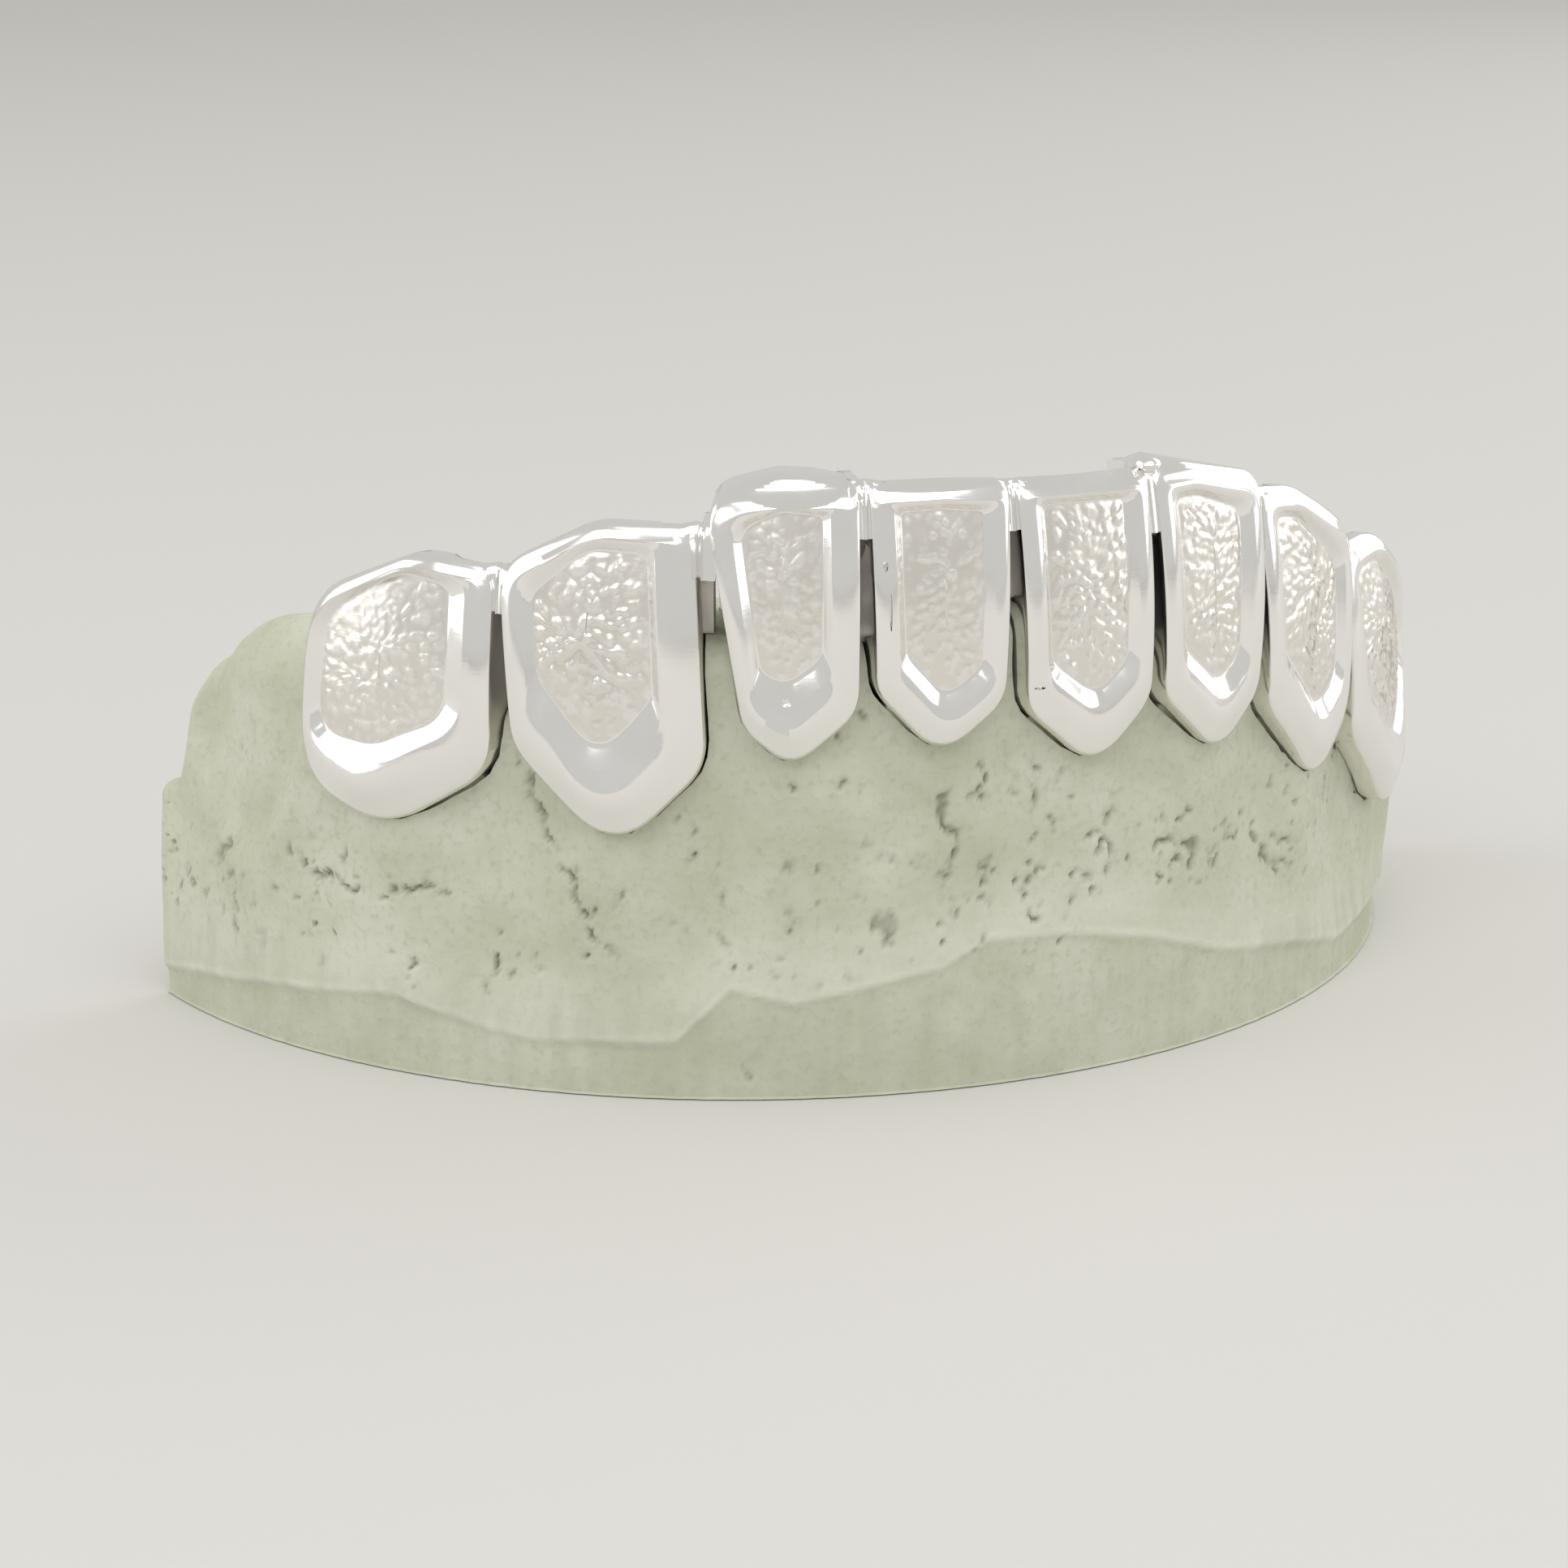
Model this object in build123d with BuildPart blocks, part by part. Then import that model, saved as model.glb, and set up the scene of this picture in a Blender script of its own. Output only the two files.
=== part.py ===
from build123d import *

import os
from math import cos, radians, sin, sqrt, tan
from typing import NamedTuple

# Eight joined tooth caps, cast in one piece, on a dental stone cast of the lower arch.
# Lengths are millimetres and angles are degrees.
# The teeth are seen from the front: +X is to the right, +Y runs back, +Z is up.
# Angles round the arch start at the front and grow to the right.

# Arch of the caps, seen from above
arch_radius = 24.0       # outer face of the caps at their fullest
slit = 0.36              # saw cut between two caps
gum_level = 11.0         # height of the gum line above the bench
crown_length = 9.0       # gum line to biting edge
crown_depth = 6.0        # outer face to tongue face of a front tooth
tuck_gum = 0.4           # how far the outer face draws back at the gum
tuck_bite = 1.0          # how far it draws back at the biting edge
edge_round = 0.35        # rounding of a cap's outer edge
overrun = 0.8            # how far cutting faces run past what they cut
belly_share = 0.45       # fullest height of an outer face, from its lowest point to its top

# Walls of the caps
labial_wall = 0.9
side_wall = 0.55
lingual_wall = 0.6
bite_wall = 1.0
seat_gap = 0.1           # clearance between the caps and the stone

# Sunk windows in the outer faces
window_sink = 0.35       # depth of the window's floor
border_side = 0.9        # polished frame beside the window
border_gum = 1.9         # polished frame below the window
border_bite = 0.9        # polished frame above the window
window_reach = 2.5       # depth of the window's cut, past the sides of a round tooth
grain_pitch = 1.05       # spacing of the raised grains on the window's floor
grain_radius = 0.5       # a grain is the cap of a ball
grain_rise = 0.22        # height of a grain above the floor
grain_stray = 0.12       # how far a grain strays from its row
stray_up = 5.0           # turn of the stray from one row to the next, in radians
stray_across = 3.0       # turn of the stray from one grain to the next, in radians

# Solder joints between the caps: a bar above each slit, and a web behind the slit
bar_sink = 0.65          # how far a bar's front lies behind the arch
bar_depth = 2.2          # front to back
bar_drop = 0.1           # top of a bar below the lower of its two caps
bar_round = 0.25         # rounding of a bar's edges
web_sink = 2.2           # how far a web's front lies behind the arch
web_depth = 1.1          # front to back
joint_reach = 0.2        # how far bars and webs reach into the side walls of the caps

# Stone cast
bare_sink = 1.3          # bare teeth lie this far behind the caps' faces
wall_radius = 23.4       # trimmed outer wall
tongue_radius = 13.2     # inner wall, on the tongue's side
wall_height = 6.8        # height of the trimmed band
wall_bevel = 0.5         # broken upper edge of the band
back_cut = 4.2           # trimmed back, in front of the arch centre
ridge_foot = 3.0         # height where the gum ridge starts, inside the band
ridge_front = 22.95      # outer face of the gum ridge
ridge_inner = 15.2       # tongue face of the gum ridge
ridge_round = 0.9        # rounding of the gum ridge


# The arch centre lies behind the front teeth, so that the origin is under the middle of the part
arch_centre = (arch_radius + back_cut) / 2


class Kind(NamedTuple):
    """Form of one kind of tooth, seen from above and from the side."""

    curve: float      # radius of the outer face seen from above, in arch radii
    depth: float      # outer face to tongue face at the gum, in crown depths
    edge: float       # thickness of the biting edge, in crown depths
    slope: float      # drop of the tongue face below the biting edge, in crown lengths


incisor = Kind(curve=0.54, depth=1.0, edge=0.38, slope=0.5)
canine = Kind(curve=0.42, depth=1.15, edge=0.3, slope=0.42)
premolar = Kind(curve=0.38, depth=1.25, edge=0.45, slope=0.24)


class Tooth(NamedTuple):
    """Outline of one tooth, seen from the front."""

    kind: Kind
    start: float         # angle of its left boundary
    stop: float          # angle of its right boundary
    tip_at: float        # place of its lowest point across the width
    tip: float           # heights above the gum line, in crown lengths
    low_left: float
    low_right: float
    draw_left: float     # how far a side draws in at its low corner, in widths
    draw_right: float
    crest_at: float      # place of its highest point across the width
    crest: float
    top_left: float
    top_right: float
    round_left: float    # rounding of the top corners, in widths
    round_right: float


# Rows from left to right: kind, start, stop, tip_at, tip, low_left, low_right,
# draw_left, draw_right, crest_at, crest, top_left, top_right, round_left, round_right
capped_teeth = [
    Tooth(premolar, -57.6, -40.7, 0.43, -0.28, -0.18, -0.06, 0.03, 0.00, 0.62, 0.67, 0.50, 0.63, 0.36, 0.15),
    Tooth(canine, -40.7, -25.1, 0.58, -0.25, 0.04, -0.01, 0.03, 0.00, 0.48, 0.82, 0.66, 0.81, 0.20, 0.12),
    Tooth(incisor, -25.1, -12.2, 0.55, 0.02, 0.13, 0.18, 0.17, 0.03, 0.50, 0.97, 0.93, 0.95, 0.28, 0.08),
    Tooth(incisor, -12.2, 0.0, 0.48, 0.05, 0.25, 0.19, 0.05, 0.08, 0.50, 0.95, 0.925, 0.925, 0.08, 0.08),
    Tooth(incisor, 0.0, 12.5, 0.55, -0.04, 0.15, 0.13, 0.04, 0.03, 0.50, 0.92, 0.895, 0.895, 0.08, 0.08),
    Tooth(incisor, 12.5, 24.8, 0.55, -0.09, 0.13, 0.07, 0.04, 0.11, 0.45, 0.92, 0.91, 0.87, 0.10, 0.18),
    Tooth(canine, 24.8, 39.2, 0.54, -0.30, 0.00, -0.15, 0.02, 0.06, 0.35, 0.78, 0.80, 0.58, 0.12, 0.20),
    Tooth(premolar, 39.2, 57.2, 0.51, -0.61, -0.26, -0.33, 0.02, 0.04, 0.36, 0.50, 0.47, 0.24, 0.14, 0.28),
]
bare_teeth = [
    Tooth(premolar, -73.4, -58.0, 0.50, -0.60, -0.40, -0.40, 0.00, 0.00, 0.55, 0.37, 0.27, 0.33, 0.40, 0.20),
    Tooth(premolar, 57.6, 73.4, 0.50, -0.80, -0.60, -0.60, 0.00, 0.00, 0.45, 0.13, 0.09, 0.03, 0.20, 0.40),
]


class Slit(NamedTuple):
    """Heights of a slit's upper end and of the web behind it, above the gum line in crown lengths."""

    top: float
    web_foot: float


# From left to right
slits = [
    Slit(0.50, 0.14),
    Slit(0.65, 0.36),
    Slit(0.78, 0.38),
    Slit(0.78, 0.44),
    Slit(0.72, 0.31),
    Slit(0.59, 0.20),
    Slit(0.30, 0.02),
]

# Rounding of an outline at its low corners, its tip and its crest, in widths
low_round = 0.16
tip_round = 0.22
crest_round = 0.3


class Station(NamedTuple):
    """Cut through the gum ridge."""

    angle: float     # place round the arch
    rise: float      # top of the ridge above the gum line, in crown lengths


ridge_stations = [
    Station(-86, -0.32),
    Station(-76, -0.25),
    Station(-66, -0.18),
    Station(-50, -0.04),
    Station(-41, 0.13),
    Station(-25, 0.35),
    Station(-12, 0.38),
    Station(0, 0.43),
    Station(12, 0.31),
    Station(25, 0.19),
    Station(39, 0.01),
    Station(50, -0.27),
    Station(66, -0.33),
    Station(76, -0.36),
    Station(86, -0.40),
]


class Skin(NamedTuple):
    """Distances of a surface inside the caps' outer faces."""

    front: float
    side: float
    back: float
    top: float
    gum: float
    deep: bool      # runs down into the stone


outer_skin = Skin(0, 0, 0, 0, 0, False)
seat_skin = Skin(-seat_gap, -seat_gap, -seat_gap, -seat_gap, -seat_gap, False)
bare_skin = Skin(bare_sink, slit / 2, bare_sink / 2, 0, 0, False)
floor_skin = Skin(window_sink, 0, 0, 0, 0, False)
window_skin = Skin(window_sink, border_side, lingual_wall, border_bite, border_gum, False)
hollow_skin = Skin(labial_wall, side_wall, lingual_wall, bite_wall, 0, True)
stump_skin = Skin(
    labial_wall + seat_gap, side_wall + seat_gap, lingual_wall + seat_gap, bite_wall + seat_gap, 0, True
)


def arch_plane(angle: float, radius: float) -> Plane:
    """Upright plane across the arch's radius: x to the right, y up, z outwards."""
    turn = radians(angle)
    origin = (radius * sin(turn), arch_centre - radius * cos(turn), 0)
    return Plane(origin=origin, x_dir=(cos(turn), sin(turn), 0), z_dir=(sin(turn), -cos(turn), 0))


def radial_plane(angle: float, radius: float = 0) -> Plane:
    """Upright plane along the arch's radius: x outwards, y up."""
    turn = radians(angle)
    origin = (radius * sin(turn), arch_centre - radius * cos(turn), 0)
    return Plane(origin=origin, x_dir=(sin(turn), -cos(turn), 0), z_dir=(-cos(turn), -sin(turn), 0))


def height(share: float) -> float:
    """Height above the bench of a share of the crown length above the gum line."""
    return gum_level + share * crown_length


def middle(tooth: Tooth) -> float:
    """Angle of a tooth's middle line."""
    return (tooth.start + tooth.stop) / 2


def half_width(tooth: Tooth, radius: float) -> float:
    """Half of a tooth's width between its two slits, at a radius of the arch."""
    return radius * tan(radians((tooth.stop - tooth.start) / 2)) - slit / 2


def shield(tooth: Tooth, radius: float, skin: Skin, sink: float = 0) -> Sketch:
    """Outline of a tooth on the plane at a radius of the arch, its top lowered by sink."""
    half = half_width(tooth, radius)
    width = 2 * half
    left = -half + skin.side
    right = half - skin.side
    low_left = (left + tooth.draw_left * width, height(tooth.low_left) + skin.gum)
    low_right = (right - tooth.draw_right * width, height(tooth.low_right) + skin.gum)
    tip = (-half + tooth.tip_at * width, height(tooth.tip) + skin.gum)
    top = [
        (right, height(tooth.top_right) - skin.top - sink),
        (-half + tooth.crest_at * width, height(tooth.crest) - skin.top - sink),
        (left, height(tooth.top_left) - skin.top - sink),
    ]
    clear = right - left
    top_radii = [tooth.round_right * clear, crest_round * clear, tooth.round_left * clear]
    if skin.deep:
        lower = [low_left, (low_left[0], ridge_foot), (low_right[0], ridge_foot), low_right]
        lower_radii = [0, 0, 0, 0]
    else:
        lower = [low_left, tip, low_right]
        lower_radii = [low_round * clear, tip_round * clear, low_round * clear]
    with BuildSketch(arch_plane(middle(tooth), radius)) as face:
        with BuildLine():
            FilletPolyline(*lower, *top, radius=lower_radii + top_radii, close=True)
        make_face()
    return face.sketch


def face_heights(tooth: Tooth) -> tuple[float, float, float]:
    """Heights of the lower end, the fullest place and the upper end of a tooth's outer face."""
    below = height(tooth.tip) - overrun
    above = height(tooth.crest) + overrun
    return below, below + belly_share * (above - below), above


def barrel(tooth: Tooth, skin: Skin) -> Part:
    """Round body whose side is the tooth's outer face, with its seam on the side of the tongue."""
    curve = tooth.kind.curve * arch_radius
    reach = skin.front - curve
    below, belly, above = face_heights(tooth)
    plane = radial_plane(middle(tooth), arch_radius - curve)
    with BuildPart() as body:
        with BuildSketch(plane):
            with BuildLine():
                ThreePointArc((reach + tuck_gum, below), (reach, belly), (reach + tuck_bite, above))
                Polyline(
                    (reach + tuck_bite, above),
                    (0, above),
                    (0, ridge_foot - overrun),
                    (reach + tuck_gum, ridge_foot - overrun),
                    (reach + tuck_gum, below),
                )
            make_face()
        revolve(axis=Axis(plane.origin, (0, 0, 1)))
    return body.part


def crown(tooth: Tooth, skin: Skin) -> Part:
    """Body of a tooth inside a skin: a loft through three shields, rounded by its barrel."""
    kind = tooth.kind
    back = arch_radius - kind.depth * crown_depth + skin.back
    edge = arch_radius - tuck_bite - kind.edge * crown_depth + skin.back
    shields = [
        shield(tooth, arch_radius + overrun, skin),
        shield(tooth, edge, skin),
        shield(tooth, back, skin, kind.slope * crown_length),
    ]
    with BuildPart() as body:
        loft(shields, ruled=True)
        add(barrel(tooth, skin), mode=Mode.INTERSECT)
    return body.part


def window(tooth: Tooth) -> Part:
    """Space of the sunk window in a cap's outer face."""
    shields = [shield(tooth, arch_radius + reach, window_skin) for reach in (-window_reach, overrun)]
    with BuildPart() as space:
        loft(shields, ruled=True)
        add(crown(tooth, floor_skin), mode=Mode.SUBTRACT)
    return space.part


def grain_depth(tooth: Tooth, across: float, level: float) -> float:
    """Arch radius of the window's floor at a place across the tooth and a height."""
    below, belly, above = face_heights(tooth)
    at_gum = tuck_gum * (level - belly) * (level - above) / ((below - belly) * (below - above))
    at_bite = tuck_bite * (level - belly) * (level - below) / ((above - belly) * (above - below))
    curve = tooth.kind.curve * arch_radius
    return arch_radius - curve + sqrt((curve - at_gum - at_bite - window_sink) ** 2 - across**2)


def grains(tooth: Tooth) -> list[Part]:
    """Raised grains in staggered rows on the floor of a window."""
    plane = arch_plane(middle(tooth), 0)
    half = half_width(tooth, arch_radius) - border_side - grain_radius
    low = height(max(tooth.low_left, tooth.low_right)) + border_gum
    high = height(min(tooth.top_left, tooth.top_right)) - border_bite - grain_radius
    rows = round((high - low) / grain_pitch)
    balls = []
    for row in range(rows + 1):
        columns = round(2 * half / grain_pitch) - row % 2
        for column in range(columns + 1):
            stray = grain_stray * sin(stray_up * row + stray_across * column)
            across = (column - columns / 2) * grain_pitch + stray
            level = low + (high - low) * row / rows - stray
            centre = grain_depth(tooth, across, level) + grain_rise - grain_radius
            with BuildPart() as ball:
                with Locations(plane.from_local_coords((across, level, centre))):
                    Sphere(grain_radius)
            balls.append(ball.part)
    return balls


def cap(tooth: Tooth) -> Part:
    """Solid cap with its rounded outer edge and its sunk, grained window."""
    with BuildPart() as shell:
        add(crown(tooth, outer_skin))
        outward = arch_plane(middle(tooth), 0)
        face = shell.faces().sort_by(Axis(outward.origin, outward.z_dir))[-1]
        fillet(face.edges(), edge_round)
        add(window(tooth), mode=Mode.SUBTRACT)
        add(grains(tooth))
    return shell.part


def solder_bar(left: Tooth, right: Tooth, gap: Slit) -> Part:
    """Bar that joins two caps above the slit between them."""
    front = arch_radius - bar_sink
    top = min(height(left.top_right), height(right.top_left)) - bar_drop
    low = height(gap.top)
    with BuildPart() as bar:
        with BuildSketch(radial_plane(left.stop)):
            with Locations((front - bar_depth / 2, (low + top) / 2)):
                RectangleRounded(bar_depth, top - low, bar_round)
        extrude(amount=slit / 2 + joint_reach, both=True)
    return bar.part


def web(left: Tooth, gap: Slit, spare: float) -> Part:
    """Sheet that closes a slit from behind, down to the gum, with spare room round it."""
    front = arch_radius - web_sink
    top = height(gap.top) + bar_round
    low = height(gap.web_foot) - spare
    with BuildPart() as sheet:
        with BuildSketch(radial_plane(left.stop)):
            with Locations((front - web_depth / 2, (low + top) / 2)):
                Rectangle(web_depth + 2 * spare, top - low)
        extrude(amount=slit / 2 + joint_reach, both=True)
    return sheet.part


def stone_band() -> Part:
    """Trimmed horseshoe band at the foot of the cast."""
    with BuildPart() as band:
        with BuildSketch():
            with Locations((0, arch_centre)):
                Circle(wall_radius)
                Circle(tongue_radius, mode=Mode.SUBTRACT)
        extrude(amount=wall_height)
        upper = band.edges().filter_by(GeomType.CIRCLE).group_by(Axis.Z)[-1].sort_by(SortBy.LENGTH)[-1]
        chamfer(upper, wall_bevel)
    return band.part


def ridge_section(station: Station) -> Sketch:
    """Cut through the gum ridge along a radius of the arch."""
    crest = height(station.rise)
    with BuildSketch(radial_plane(station.angle)) as face:
        with BuildLine():
            FilletPolyline(
                (ridge_front, ridge_foot),
                (ridge_front, crest - ridge_round),
                (ridge_front - ridge_round, crest),
                (ridge_inner + ridge_round, crest),
                (ridge_inner, crest - 2 * ridge_round),
                (ridge_inner, ridge_foot),
                radius=[0, ridge_round, ridge_round, ridge_round, ridge_round, 0],
                close=True,
            )
        make_face()
    return face.sketch


def gum_ridge() -> Part:
    """Gum that rises inside the band and follows the gum line."""
    with BuildPart() as ridge:
        loft([ridge_section(station) for station in ridge_stations], ruled=True)
    return ridge.part


os.makedirs("parts", exist_ok=True)
joints = list(zip(capped_teeth, capped_teeth[1:], slits))

# The eight hollow caps and the joints between them are one casting
with BuildPart() as grillz_casting:
    bars = [solder_bar(left, right, gap) for left, right, gap in joints]
    webs = [web(left, gap, 0) for left, right, gap in joints]
    add([cap(tooth) for tooth in capped_teeth] + bars + webs)
    add([crown(tooth, hollow_skin) for tooth in capped_teeth], mode=Mode.SUBTRACT)
grillz_casting.part.label = "grillz_casting"
export_step(grillz_casting.part, "parts/grillz_casting.step")

# The stone cast carries the teeth inside the caps, and leaves the seats of the caps and webs clear
with BuildPart() as stone_cast:
    add([stone_band(), gum_ridge()])
    seats = [crown(tooth, seat_skin) for tooth in capped_teeth]
    slots = [web(left, gap, seat_gap) for left, right, gap in joints]
    add(seats + slots, mode=Mode.SUBTRACT)
    stumps = [crown(tooth, stump_skin) for tooth in capped_teeth]
    add(stumps + [crown(tooth, bare_skin) for tooth in bare_teeth])
    split(bisect_by=Plane.XZ.offset(back_cut - arch_centre), keep=Keep.TOP)
stone_cast.part.label = "stone_cast"
export_step(stone_cast.part, "parts/stone_cast.step")
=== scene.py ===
from functools import partial
from math import cos, radians, sin, tan
from typing import NamedTuple

import bmesh
import bpy
import numpy as np
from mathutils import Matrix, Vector


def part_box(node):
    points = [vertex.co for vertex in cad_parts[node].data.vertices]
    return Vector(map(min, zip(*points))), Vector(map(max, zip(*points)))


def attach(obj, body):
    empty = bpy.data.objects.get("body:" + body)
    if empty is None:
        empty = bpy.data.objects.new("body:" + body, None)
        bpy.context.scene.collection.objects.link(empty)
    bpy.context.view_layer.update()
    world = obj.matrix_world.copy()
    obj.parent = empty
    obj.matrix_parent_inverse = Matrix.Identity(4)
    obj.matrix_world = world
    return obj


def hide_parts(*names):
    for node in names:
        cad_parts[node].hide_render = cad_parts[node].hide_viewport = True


bl_info = {
    "name": "Grillz on a dental stone cast",
    "version": (1, 0, 0),
    "blender": (4, 5, 0),
    "location": "3D View > Sidebar > Grillz",
    "description": "Eight joined tooth caps in polished silver, seated on a dental stone cast",
    "category": "Object",
}

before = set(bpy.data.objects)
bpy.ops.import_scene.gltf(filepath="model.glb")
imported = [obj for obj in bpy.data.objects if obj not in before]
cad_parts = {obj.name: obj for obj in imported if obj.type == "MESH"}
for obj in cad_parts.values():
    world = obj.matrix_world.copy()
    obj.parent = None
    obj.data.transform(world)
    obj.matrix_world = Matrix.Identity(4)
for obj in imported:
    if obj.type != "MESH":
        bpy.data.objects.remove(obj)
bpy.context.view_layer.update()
MM = 0.001

# Sizes of the part, in millimetres. Angles round the arch start at the front and grow to the right.
ARCH_RADIUS = 24.0
SLIT = 0.26
GUM_LEVEL = 11.0
CROWN_LENGTH = 9.0
CROWN_DEPTH = 6.0
TUCK_GUM = 0.4
TUCK_BITE = 1.0
OVERRUN = 0.8
BELLY_SHARE = 0.45
LABIAL_WALL = 0.9
SIDE_WALL = 0.55
LINGUAL_WALL = 0.6
BITE_WALL = 1.0
WALL_RADIUS = 23.4
TONGUE_RADIUS = 13.2
BACK_CUT = 4.2
RIDGE_FRONT = 22.95
RIDGE_INNER = 15.2
STUMP_FOOT = 2.0

# A tooth's outlines are drawn at the arch radius and this far behind it, and its form follows from both
BEHIND = 2.0

# The arch centre lies in front of the cast's trimmed back by the depth of that cut
ARCH_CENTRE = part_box("stone_cast")[1].y / MM + BACK_CUT


class Kind(NamedTuple):
    """Form of one kind of tooth, seen from above and from the side."""

    curve: float      # radius of the outer face seen from above, in arch radii
    depth: float      # outer face to tongue face at the gum, in crown depths
    edge: float       # thickness of the biting edge, in crown depths
    slope: float      # drop of the tongue face below the biting edge, in crown lengths
    fall: float       # how steeply the top falls behind its crest: 1 is straight, less falls sooner


incisor = Kind(curve=0.54, depth=1.0, edge=0.36, slope=0.5, fall=0.9)
thin_incisor = Kind(curve=0.54, depth=1.0, edge=0.10, slope=0.5, fall=0.9)
canine = Kind(curve=0.42, depth=1.15, edge=0.10, slope=0.42, fall=0.75)
premolar = Kind(curve=0.38, depth=1.25, edge=0.10, slope=0.24, fall=0.6)


class Tooth(NamedTuple):
    """Outline of one tooth, seen from the front."""

    kind: Kind
    start: float         # angle of its left boundary
    stop: float          # angle of its right boundary
    tip_at: float        # place of its lowest point across the width
    tip: float           # heights above the gum line, in crown lengths
    low_left: float
    low_right: float
    draw_left: float     # how far a side draws in at its low corner, in widths
    draw_right: float
    crest_at: float      # place of its highest point across the width
    crest: float
    top_left: float
    top_right: float
    round_left: float    # rounding of the top corners, in widths
    round_right: float
    proud: float = 0.0   # how far its outer face stands out of the arch, in millimetres


# Rows from left to right: kind, start, stop, tip_at, tip, low_left, low_right,
# draw_left, draw_right, crest_at, crest, top_left, top_right, round_left, round_right, proud
TEETH = [
    Tooth(premolar, -57.9, -40.7, 0.45, -0.31, -0.18, -0.06, -0.08, 0.00, 0.62, 0.69, 0.50, 0.65, 0.36, 0.12),
    Tooth(canine, -40.7, -24.8, 0.59, -0.325, 0.04, -0.01, 0.08, -0.05, 0.50, 0.835, 0.67, 0.82, 0.20, 0.12),
    Tooth(incisor, -24.8, -12.45, 0.55, -0.015, 0.13, 0.18, 0.24, 0.02, 0.50, 0.985, 0.93, 0.97, 0.28, 0.08),
    Tooth(thin_incisor, -12.45, -0.7, 0.49, 0.0, 0.25, 0.19, 0.03, 0.06, 0.50, 0.965, 0.96, 0.95, 0.08, 0.08),
    Tooth(thin_incisor, -0.7, 11.8, 0.56, -0.095, 0.15, 0.13, 0.04, 0.03, 0.50, 0.945, 0.945, 0.94, 0.08, 0.08),
    Tooth(incisor, 11.8, 24.1, 0.56, -0.13, 0.13, 0.07, 0.03, 0.09, 0.30, 0.945, 0.94, 0.87, 0.10, 0.18),
    Tooth(canine, 24.1, 38.6, 0.55, -0.36, 0.00, -0.15, 0.02, 0.06, 0.35, 0.78, 0.80, 0.58, 0.12, 0.20),
    Tooth(premolar, 38.6, 58.0, 0.49, -0.68, -0.26, -0.33, 0.02, 0.04, 0.33, 0.50, 0.47, 0.16, 0.14, 0.36, 0.35),
]
LOW_ROUND = 0.3
TIP_ROUND = 0.5
CREST_ROUND = 0.4


class Finish(NamedTuple):
    """How one cap is dressed, in millimetres."""

    left: float            # polished border beside the window
    right: float
    gum: float             # polished border below the window
    bite: float            # polished border above the window
    bevel: tuple           # widths of the slope from the rim to the floor: left, right, gum, bite
    grind: list            # slopes ground off the biting edge: height at the arch radius, rise inwards,
                           # blend with the top, and 1 where the slope follows the round face or 0 if flat
    keel: tuple            # ridge down the lower border: place across, rise
    grain: float           # strength of the window's nugget grain


FINISHES = [
    Finish(0.35, 0.80, 1.7, 0.40, (0.3, 0.8, 0.5, 0.3), [], (0.30, 0.14), 0.6),
    Finish(0.75, 1.25, 1.7, 0.50, (0.3, 0.3, 1.0, 0.4), [], (0.66, 0.20), 1.0),
    Finish(0.75, 0.90, 1.4, 0.80, (0.4, 0.3, 0.9, 0.2), [(18.62, 0.875, 0.4, 1)], (0.52, 0.20), 0.55),
    Finish(0.75, 0.50, 1.0, 0.65, (0.3, 0.35, 0.6, 0.25), [(19.0, 0.5, 0.06, 0)], (0.5, 0.03), 0.6),
    Finish(0.70, 0.60, 1.4, 0.60, (0.3, 0.3, 0.55, 0.25), [(18.78, 0.5, 0.06, 0)], (0.5, 0.03), 1.0),
    Finish(0.65, 0.70, 1.3, 0.80, (0.35, 0.3, 0.7, 0.3), [], (0.5, 0.05), 1.0),
    Finish(0.70, 0.75, 1.5, 0.80, (0.35, 0.3, 0.7, 0.3), [], (0.5, 0.08), 1.0),
    Finish(0.70, 0.80, 1.6, 0.70, (0.35, 0.3, 0.7, 0.3), [], (0.5, 0.08), 0.9),
]


# Points along an outline: on each rounded corner, then on the side that follows it
ARC_POINTS = 10
SIDE_POINTS = (14, 14, 44, 16, 16, 44)
COARSE_ARC_POINTS = 4
COARSE_SIDE_POINTS = (5, 5, 14, 6, 6, 14)


def height(share):
    """Height above the bench of a share of the crown length above the gum line."""
    return GUM_LEVEL + share * CROWN_LENGTH


def half_width(tooth, radius):
    """Half of a tooth's width between its two slits, at a radius of the arch."""
    return radius * tan(radians((tooth.stop - tooth.start) / 2)) - SLIT / 2


def rounded_loop(corners, radii, arc_points, side_points):
    """Closed outline through corners, each rounded, with the same count of points for every outline."""
    corners = [np.array(c, float) for c in corners]
    count = len(corners)
    starts, ends, arcs = [], [], []
    for i, corner in enumerate(corners):
        before = corners[i - 1] - corner
        after = corners[(i + 1) % count] - corner
        a, b = np.linalg.norm(before), np.linalg.norm(after)
        u, v = before / a, after / b
        half = np.arccos(np.clip(u @ v, -1, 1)) / 2
        radius = min(radii[i], 0.45 * min(a, b) * np.tan(half))
        reach = radius / np.tan(half)
        first, last = corner + u * reach, corner + v * reach
        share = np.linspace(0, 1, arc_points)[:, None]
        arcs.append(first * (1 - share) ** 2 + corner * 2 * share * (1 - share) + last * share**2)
        starts.append(first)
        ends.append(last)
    points = []
    for i in range(count):
        points.append(arcs[i])
        share = (np.arange(side_points[i]) + 1)[:, None] / (side_points[i] + 1)
        points.append(ends[i] + (starts[(i + 1) % count] - ends[i]) * share)
    return np.concatenate(points)


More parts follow.
